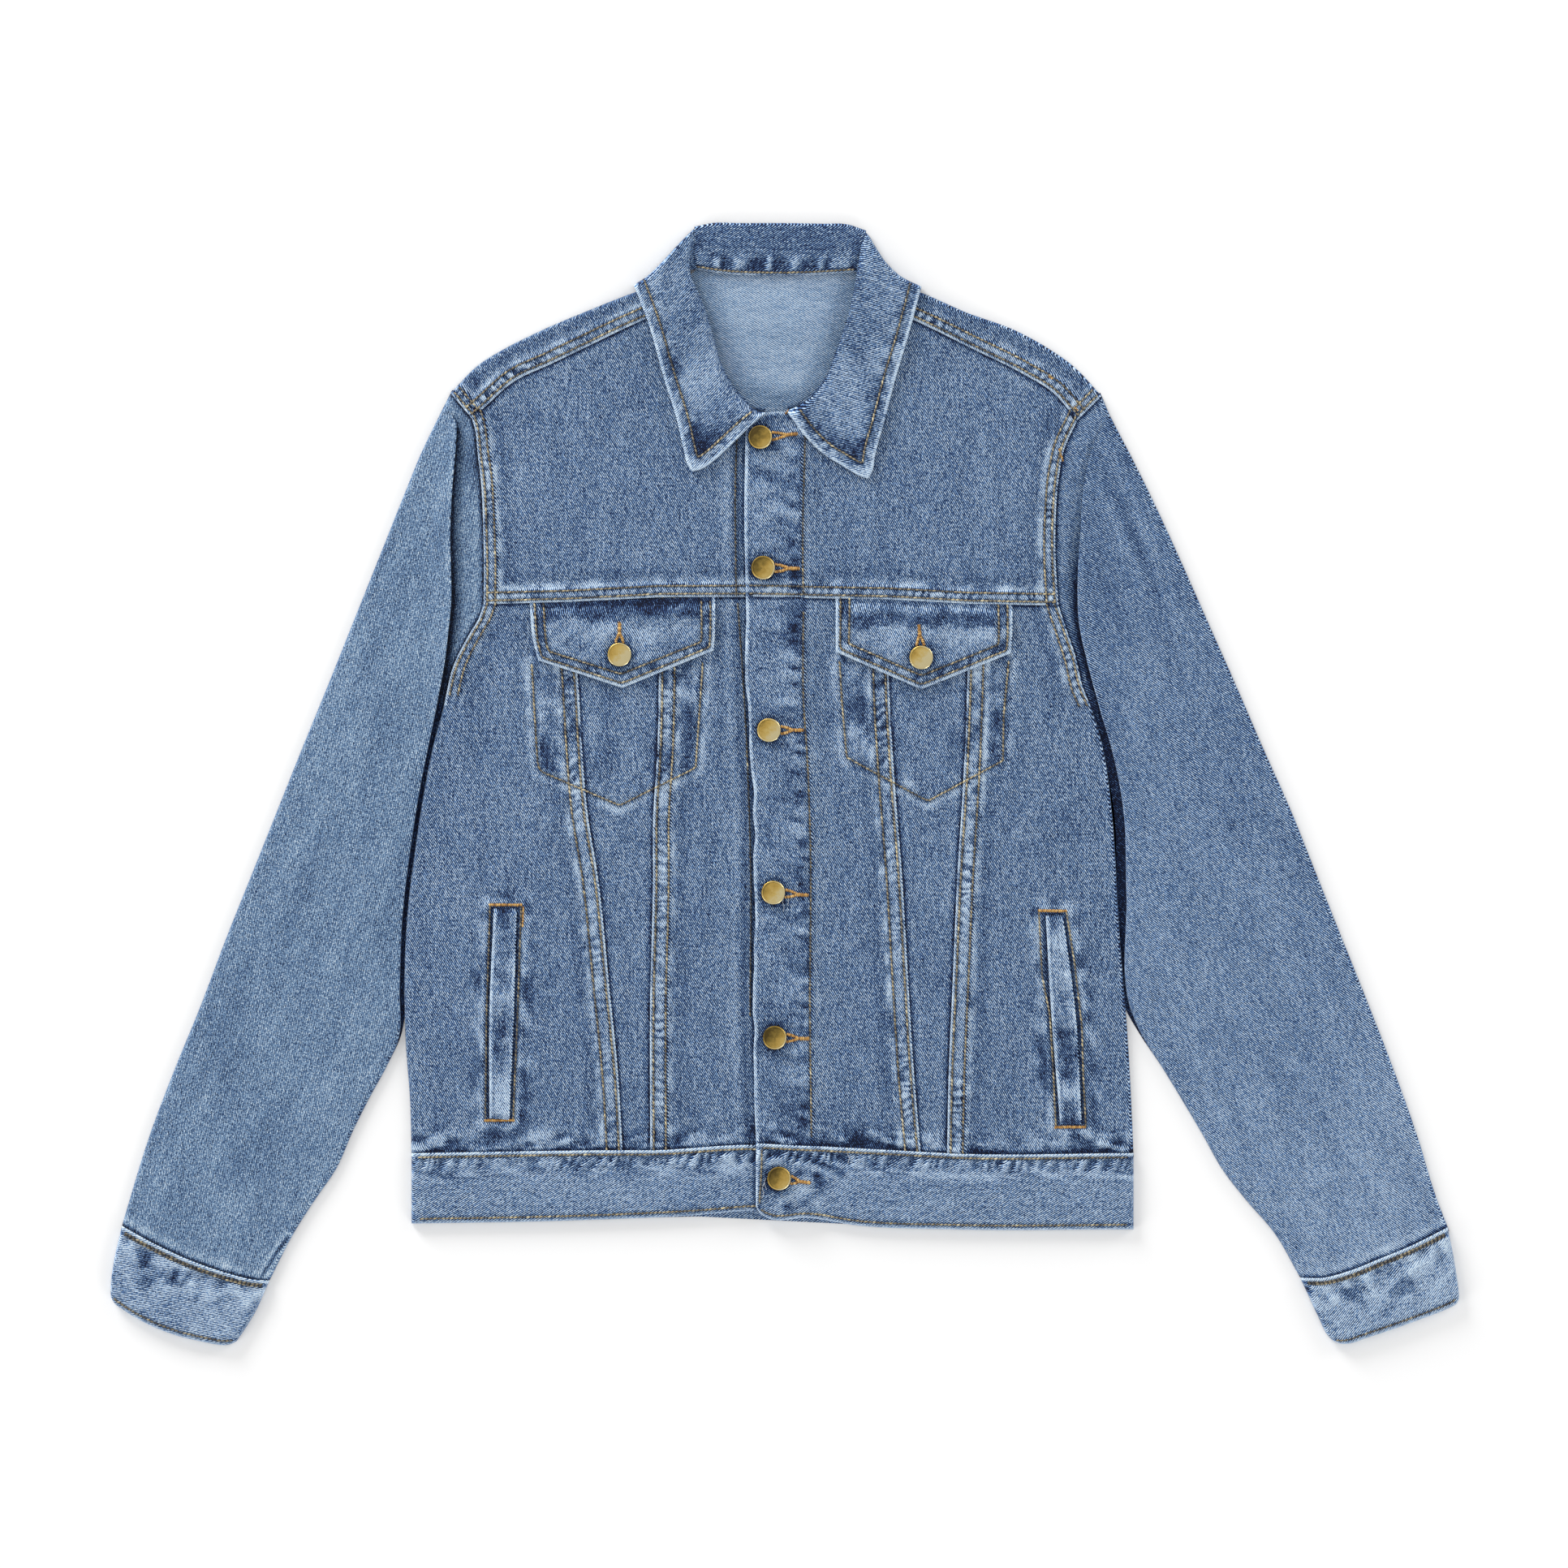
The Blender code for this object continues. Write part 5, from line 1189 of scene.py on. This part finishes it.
def makeLeaf(side):
    seam, way, base = seams[side], ways[side], collar["seeds"][side]
    rollLine = fine(collar[side]["roll"])
    roll, rollHeight = rollLine[:, :2], rollLine[:, 2]
    edge, front, turn = fine(seam["leafEdge"]), fine(seam["leafFront"]), fine(seam["leafTurn"][::-1])
    across = lanes(170, edgeLanes[:15], foldLanes, step=1.5)
    up = lanes(75, foldLanes, edgeLanes[:15], step=1.4)
    leaf = Cloth("collarLeaf_" + side, patch(across, up, roll, edge, front, turn),
                 lambda x, y: frontLevel(x, y) + lap(x) + collar["rise"], grain=math.pi / 2 - way * 0.29)
    # it rises to the roll line, and lies lower at the shoulder
    corner = np.hypot(leaf.x - roll[-1, 0], leaf.y - roll[-1, 1])
    leaf.z = 5.4 + (leaf.z - 5.4) * soft(corner, 0, 30)
    share = np.linspace(0, 1, 400)
    height = np.interp(across, share, np.interp(share * runOf(roll)[-1], runOf(roll), rollHeight))[None, :]
    d = leaf.to["low"]
    blend = soft(d, 0, 5.0)
    leaf.z = (height + 0.2) * (1 - blend) + np.maximum(leaf.z, height * 0.9) * blend
    leaf.drop += 0.9 * roundOver(d, 1.6)
    leaf.fold("finish", radius=3.0, low=1.0, tone=-0.05)
    high, start = leaf.to["high"], leaf.to["start"]
    row = collar["row"]
    for name, other, seed in (("high", start, base), ("start", high, base + 10)):
        d, s = leaf.at(name)
        pale, paler, dark = collar["wear"][name]
        leaf.edge(name, seed, depth=1.8, pale=0.85, radius=1.1)
        clear = soft(other, 4, 9)
        lump = hard(1.6 * blotches(s - 0.5 * d, d, seed + 1, 4.0, 9.0))
        marks = lump if name == "high" else hard(2.4 * blotches(s - 0.4 * d, d, seed + 5, 4.2, 6.0))
        between = soft(d, 2.2, 3.8) * fade(d, row - 1.2, row) * clear
        leaf.tone += (pale * marks + paler) * between
        leaf.drop -= 0.2 * lump * between
        reach = soft(other, row - 0.6, row)
        leaf.groove(name, row, 0.85, 1.3, 0.18, 0.7, reach)
        patches = hard(1.5 * blotches(s + 0.5 * d, d, seed + 2, 5.0, 8.0))
        leaf.tone += (0.42 * patches - dark) * bell(d, row + 4.0, 4.0) * clear
    # the worn point, and darker cloth inside the corner of the stitching
    point = np.hypot(leaf.x - edge[0, 0], leaf.y - edge[0, 1])
    leaf.tone += 0.75 * fade(point, 5, 14) - 0.7 * bell(point, 23, 9) * soft(start, 7, 9) * soft(high, 7, 9)
    leaf.tone += 0.17 - 0.04 * way + 0.26 * leaf.spots(base + 31, 14.0, 40.0, way * 0.3)
    leaf.tone += 0.2 * leaf.spots(base + 33, 5.0, 19.0, way * 0.3) * soft(high, 9, 14)
    d = leaf.to["low"]
    # painted shade along the roll line
    leaf.tone -= 0.2 * bell(d, 0, 3.0)
    leaf.drop -= 0.5 * leaf.spots(base + 32, 26.0, 46.0, way * 0.3) * soft(d, 3, 15) * soft(high, 8, 20)
    leaf.build("frontYoke_" + side)
    leaf.stitchLine(mitred(leaf.row("start", row, (2, 0)), leaf.row("high", row, (0, 1))))


def makeStand():
    # the stand runs round inside the neck, and shows behind it
    for side in ways:
        seamLine, rollLine = fine(collar[side]["seam"]), fine(collar[side]["roll"])
        shares = lanes(190, step=1.6)
        low, high = along(seamLine, shares), along(rollLine, shares)
        rows = np.array([low + (high - low) * share for share in (0, 0.12, 0.3, 0.5, 0.7, 0.85, 1.0)])
        stand = Cloth("collarStand_" + side, rows[..., :2], 0.0, grain=math.pi / 2)
        stand.z = rows[..., 2] + 0.35 * arch(np.linspace(0, 1, 7))[:, None]
        # darker all over, with painted shade along its sewn edge
        stand.tone -= 0.25 + 0.3 * fade(stand.to["low"], 0.2, 2.0)
        stand.build("backSheet")
    topRight, topLeft = (collar[side]["roll"][-1][:2] for side in ("right", "left"))
    low = fine(((-60, 355.6), (-40, 352.8), (-18, 351.8), (15, 352), (46.5, 353.8)), 79)
    high = fine((topRight, (-52, 388.2), (-30, 388.4), (25, 388), (44, 387.4), topLeft), 79)
    across = lanes(104, (0, 0.8), (0, 0.8), step=1.3)
    up = lanes(collar["deep"], (0, 0.4, 0.9, 1.5, 2.2, 3.0), foldLanes, step=1.3)
    flat = patch(across, up, low, high)
    stand = Cloth("collarStand_back", flat, 4.4, ("start", "finish"), math.pi / 2, tone=-0.15)
    d, s = stand.at("low")
    stand.higher(0.9 * arch(d / collar["deep"]))
    stand.fold("high", radius=3.0, low=1.5, tone=0.1)
    lump = hard(1.5 * blotches(s, d, 1901, 4.4, 16.0)) + 0.3 * blotches(s, d, 1902, 9.0, 9.0)
    stand.pucker(lump, soft(d, 2.6, 4.5) * fade(d, 9, 17), 0.8, 0.1, 0.6)
    stand.edge("low", 1903, depth=1.5, pale=0.8)
    stand.groove("low", 2.2, 0.9, 1.1)
    # painted shade at both ends, where the stand meets the leaves, fading out near its top
    for edge in ("start", "finish"):
        stand.tone -= 0.5 * fade(stand.to[edge], 0.0, 6.0) * soft(stand.to["high"], 4, 12)
    stand.tone -= 0.12 * soft(d, 12, 24)
    stand.build("backSheet", stands="collar")
    stand.stitch("low", (2.1,))


for side in ways:
    makeLowerFronts(side)
    makeYoke(side)
    makeShoulder(side)
    print(side, "front made")
makeBack()
for side in ways:
    for make in (makeSleeve, makeCuff, makeBand, makeFlap, makeWelt, makeLeaf):
        make(side)
makeStand()
makeBandBack()
print("cloth made:", sum(len(piece.quads) for piece in pieces.values()), "faces")

# Thread: rows of short stitches, overcast bars and buttonholes
thread = {
    "pitch": 2.9, "length": 3.25, "width": 1.4,
    "barPitch": 0.62,
    "sink": 0.15,  # into the cloth
    "slant": 0.32,
    "sides": 4,
    # along each stitch: its place, thickness, height and how much paler; paler in the middle and darker at
    # the ends, as painted light and shade
    "rings": ((0.0, 0.5, -0.2, -0.35), (0.16, 0.92, 0.35, -0.2), (0.5, 1.05, 0.65, 0.12),
              (0.84, 0.92, 0.35, -0.1), (1.0, 0.5, -0.2, -0.3)),
}


def makeThread(name, *stops):
    paint = Paint(name)
    strands = paint.grain(paint.pointValue("cloth", "Vector"), 2.2, 2.0)
    colour = paint.ramp(paint.pointValue("shade") + (strands - 0.5) * 0.5, stops)
    return paint.finish({"Base Color": colour, "Roughness": 0.72 - strands * 0.2,
                         "Normal": paint.bump(strands, 0.6, 0.0001)})


tanThread = makeThread("tanThread", (0.0, 20, 22, 30), (0.25, 50, 48, 46), (0.5, 108, 99, 79),
                       (0.8, 172, 157, 121), (1.0, 222, 208, 168))
goldThread = makeThread("goldThread", (0.0, 84, 58, 26), (0.4, 160, 112, 44), (0.75, 206, 156, 74),
                        (1.0, 238, 204, 132))
whiteThread = makeThread("whiteThread", (0.0, 150, 156, 166), (0.5, 206, 212, 220), (1.0, 240, 242, 246))


def threadMesh(name, starts, ends, widths, tints, material, contrast=1.0):
    # one small swelling of thread from each start to each end
    starts, ends, widths, tints = (np.asarray(values, float) for values in (starts, ends, widths, tints))
    rings, sides = thread["rings"], thread["sides"]
    run, up = ends - starts, np.array([0, 0, 1.0])
    size = np.linalg.norm(run[:, :2], axis=1, keepdims=True) + 1e-9
    aside = np.stack([-run[:, 1], run[:, 0], 0 * run[:, 0]], axis=1) / size
    half = (widths * 0.5)[:, None]
    points = np.empty((len(starts), len(rings), sides, 3))
    quads = []
    for k, (share, thick, rise, pale) in enumerate(rings):
        middle = starts + share * run + up * rise * half
        for j in range(sides):
            turn = 2 * math.pi * (j + 0.5) / sides
            points[:, k, j] = middle + (aside * math.cos(turn) + up * math.sin(turn)) * thick * half
            if k:
                a, b = (k - 1) * sides + j, (k - 1) * sides + (j + 1) % sides
                quads.append((a, b, b + sides, a + sides))
    last = (len(rings) - 1) * sides
    quads += [(3, 2, 1, 0), (last, last + 1, last + 2, last + 3)]
    firsts = np.arange(len(starts)) * len(rings) * sides
    quads = (np.array(quads)[None] + firsts[:, None, None]).reshape(-1, 4)
    points = points.reshape(-1, 3)
    pale = np.array([ring[3] for ring in rings])
    shades = np.repeat((tints[:, None] + contrast * pale[None]).ravel(), sides)
    meshObject(name, points, quads, material, {"shade": shades, "cloth": points})


for side, lines in crossing.items():
    for rows in lines:
        line = np.array(rows, float)
        line = joined(*(np.linspace(a, b, 30) for a, b in zip(line[:-1], line[1:])))
        stitchLines.append((line, onFronts(side), 0.06 if len(rows) > 3 else -0.2))
random = np.random.default_rng(2001)
starts, ends, tints = [], [], []
for line, names, paler in stitchLines:
    line = line[:, :2]
    total = runOf(line)[-1]
    count = max(int(total / thread["pitch"]), 1)
    at = (np.arange(count) + 0.08) * total / count
    first = along(line, at / total)
    second = along(line, np.minimum(at + thread["length"], total) / total)
    knots = np.arange(0, count + 9, 9)
    slow = np.interp(np.arange(count), knots, random.uniform(0.46, 0.74, len(knots)))
    aside = np.stack([first[:, 1] - second[:, 1], second[:, 0] - first[:, 0]], axis=1)
    aside = aside * (thread["slant"] / thread["length"])
    for a, b, tint in zip(first - aside, second + aside, slow):
        levels = [heightOn(names, *a), heightOn(names, *b)]
        if None in levels or abs(levels[0] - levels[1]) > 1.6:
            continue
        starts.append((*(a + random.normal(0, 0.06, 2)), levels[0] - thread["sink"]))
        ends.append((*(b + random.normal(0, 0.06, 2)), levels[1] - thread["sink"]))
        tints.append(tint + paler + random.normal(0, 0.15))
threadMesh("seamStitching", starts, ends, np.full(len(starts), thread["width"]), tints, tanThread)
print("stitching made:", len(stitchLines), "rows")

bars = []  # start, end, width and tint of each turn of thread
barRandom = np.random.default_rng(2101)


def addBar(line, width, names, lift=0.1, thick=0.85):
    # thread wound closely across a line
    total = runOf(line)[-1]
    shares = np.arange(0, total, thread["barPitch"]) / total
    way = along(line, np.minimum(shares + 0.02, 1)) - along(line, np.maximum(shares - 0.02, 0))
    way /= np.linalg.norm(way, axis=1, keepdims=True) + 1e-9
    aside = np.stack([-way[:, 1], way[:, 0]], axis=1) * width / 2
    for middle, reach in zip(along(line, shares), aside):
        z = heightOn(names, *middle)
        if z is not None:
            z += lift - thread["sink"]
            start = (*(middle - reach + barRandom.normal(0, 0.12, 2)), z)
            end = (*(middle + reach + barRandom.normal(0, 0.12, 2)), z)
            bars.append((start, end, thick * barRandom.uniform(0.8, 1.15), barRandom.uniform(0.25, 0.95)))


# Button caps: radius and height, from the middle out and down to the seat
caps = {
    "rings": ((0.0, 3.34), (1.6, 3.31), (3.4, 3.19), (5.0, 2.98), (6.0, 2.80), (6.7, 2.66), (7.0, 2.62),
              (7.25, 2.66), (7.5, 2.66), (7.8, 2.70), (8.05, 2.48), (8.2, 2.15), (8.1, 1.75),
              (7.6, 1.45), (3.6, 1.3), (3.5, 0.1)),
    "sides": 48,
    "top": 11.2, "tall": 3.35,
    "stops": ((0.0, 255, 238, 184), (0.25, 244, 212, 128), (0.5, 214, 178, 94), (0.75, 154, 130, 68),
              (1.0, 88, 74, 42)),
}


def makeBrass():
    paint = Paint("wornBrass")
    place = paint.pointValue("cloth", "Vector")
    cloudy = paint.grain(place, 0.35, 4.0, 0.6)
    grit = paint.grain(place, 2.6, 3.0, 0.7)
    # tarnish also carries each cap's painted shade and painted highlight
    worn = paint.pointValue("tarnish") + (cloudy - 0.5) * 0.5 + (grit - 0.5) * 0.35
    return paint.finish({"Base Color": paint.ramp(worn, caps["stops"]), "Roughness": 0.30 + worn * 0.22,
                         "Metallic": 1.0, "Normal": paint.bump(grit + cloudy, 0.5, 0.00006)})


brass = makeBrass()
for name, (x, y, names, tilt, tarnish, holeEnd) in buttons.items():
    sides = caps["sides"]
    points, faces, tarnishAndPaintedLight = [], [], []
    for ring, (radius, height) in enumerate(caps["rings"]):
        # the ring in the groove darkens as patina, the raised rim is paler, and the side below the rim is
        # painted dark as shade
        groove = 0.3 * (6.9 < radius < 7.1) - 0.3 * (7.2 < radius < 7.9) + 0.6 * (radius > 8.1)
        for k in range(sides):
            turn = 2 * math.pi * k / sides
            points.append((radius * math.cos(turn), radius * math.sin(turn), height))
            # patches, and a painted highlight that pales the lower right of the cap
            patchesAndHighlight = 0.05 * math.sin(3 * turn + x) - 0.06 * radius * math.cos(turn + 0.7)
            tarnishAndPaintedLight.append(tarnish + groove + patchesAndHighlight)
            if ring:
                a, b = (ring - 1) * sides + k, (ring - 1) * sides + (k + 1) % sides
                faces.append((a, a + sides, b + sides, b))
    points = np.array(points)
    points[:, 2] += points[:, 0] * math.tan(math.radians(tilt))
    lowest = min(heightOn(names, x, y) + 0.15, caps["top"] - caps["tall"] - tilt * 0.15)
    points = points + np.array([x, y, lowest])
    cap = meshObject("cap_" + name, points, faces, brass, {"tarnish": tarnishAndPaintedLight, "cloth": points})
    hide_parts(name)
    # keyhole: an eye beside the button that closes into one thick bar
    here, there = np.array([x, y], float), np.array(holeEnd, float)
    way = (there - here) / np.linalg.norm(there - here)
    aside = np.array([-way[1], way[0]])
    mouth, neck = here + way * 8.4, there - way * 8.5
    for sign in (-1, 1):
        out = aside * sign
        fork = (mouth + 2.6 * out, (mouth + neck) / 2 + 1.8 * out, neck + 0.5 * out)
        addBar(fine(fork, 19), 2.0, names, lift=0.2, thick=0.95)
    addBar(np.array([neck, there]), 2.5, names, lift=0.4, thick=0.95)

# Bars across the ends of the hand pockets, the yoke and the shoulders
for line, width, names in (
        (((-204, -82.6), (-181.6, -82.6)), 2.1, onFronts("right")),
        (((-207.4, -231.6), (-186.5, -231.2)), 2.1, onFronts("right")),
        (((175.0, -86.6), (194.4, -86.8)), 2.1, onFronts("left")),
        (((186.5, -236.2), (208, -236)), 2.1, onFronts("left")),
        (((189.6, 232.2), (190.4, 228), (192.2, 223.6)), 1.7, ("frontYoke_left", "sleeveHead_left")),
        (((182.4, 282.6), (185.2, 280.2)), 1.6, ("shoulder_left",)),
        (((0.6, 256.4), (4.2, 261.0)), 1.5, ("frontYoke_left", "collarLeaf_left")),
        (((-180.5, -84), (-181.0, -98)), 1.3, onFronts("right")),
        (((-216, 256.5), (-213.8, 259)), 1.1, ("shoulder_right", "frontYoke_right")),
        (((200, 261), (202.5, 258.5)), 1.1, ("shoulder_left", "frontYoke_left"))):
    addBar(np.array(line, float), width, names)
threadMesh("buttonholesAndBars", *zip(*bars), goldThread, 0.7)

# Loose ends of white thread
looseEnds = (
    (((-1, -78), (-1.5, -81), (-0.5, -84), (-1.2, -87)), "frontCentre_left"),
    (((1, -76), (2.5, -79), (2.0, -83)), "frontCentre_left"),
    (((-14, -274), (-15.5, -278), (-14.5, -282), (-16, -285)), "waistbandFront_left"),
    (((-13, -271), (-14, -274), (-12.5, -279)), "waistbandFront_left"),
    (((43, -254), (44.5, -257), (43.5, -261)), "waistbandFront_left"),
)
starts, ends = [], []
for rows, name in looseEnds:
    line = [(*point, (heightOn((name,), *point) or 6.0) + 0.25) for point in fine(rows, 8)]
    starts += line[:-1]
    ends += line[1:]
threadMesh("looseThread", starts, ends, np.full(len(starts), 0.42), np.full(len(starts), 0.6), whiteThread)
print("buttons and buttonholes made")

# Floor, light and camera, in metres
studio = {
    "key": 356.0, "sides": 119.0, "fill": 0.64,
    "lift": 12,  # degrees that the lights stand above the table
    "away": 5.0, "size": 2.4,
    "half": 4, "below": -0.0003,  # of the floor
    "lens": 100, "film": 36, "overhead": (-0.00056, 0.00084, 3.0106),  # of the camera
}
half, below = studio["half"], studio["below"]
floorMesh = bpy.data.meshes.new("paleFloor")
corners = [(x, y, below) for x, y in ((-half, -half), (half, -half), (half, half), (-half, half))]
floorMesh.from_pydata(corners, [], [(0, 1, 2, 3)])
floor = bpy.data.objects.new("paleFloor", floorMesh)
bpy.context.scene.collection.objects.link(floor)
paper = Paint("palePaper")
speck = paper.grain(paper.node("ShaderNodeNewGeometry", out="Position"), 3.0, 2.0)
floorMesh.materials.append(paper.finish({"Base Color": speck * 0.02 + 0.87, "Roughness": 0.9 + speck * 0.05,
                                         "Specular IOR Level": 0.1}))

# round softboxes low over the table, each at its turn from the right
low = math.radians(studio["lift"])
for name, turn, power in (("keySoftbox", 125, "key"), ("rightSoftbox", 35, "sides"),
                          ("lowSoftbox", -55, "sides"), ("leftSoftbox", 215, "sides")):
    light = bpy.data.lights.new(name, "AREA")
    light.shape, light.size, light.energy = "DISK", studio["size"], studio[power]
    lamp = bpy.data.objects.new(name, light)
    around = math.radians(turn)
    way = Vector((math.cos(low) * math.cos(around), math.cos(low) * math.sin(around), math.sin(low)))
    lamp.location = studio["away"] * way
    lamp.rotation_euler = (-way).to_track_quat("-Z", "Y").to_euler()
    bpy.context.scene.collection.objects.link(lamp)
world = bpy.data.worlds.new("studio")
bpy.context.scene.world = world
world.use_nodes = True
world.node_tree.nodes["Background"].inputs["Color"].default_value = (1, 1, 1, 1)
world.node_tree.nodes["Background"].inputs["Strength"].default_value = studio["fill"]

lens = bpy.data.cameras.new("overhead")
lens.lens, lens.sensor_width = studio["lens"], studio["film"]
camera = bpy.data.objects.new("overhead", lens)
camera.location = studio["overhead"]
bpy.context.scene.collection.objects.link(camera)
bpy.context.scene.camera = camera
bpy.context.scene.view_settings.view_transform = "Standard"

print("jacket made")
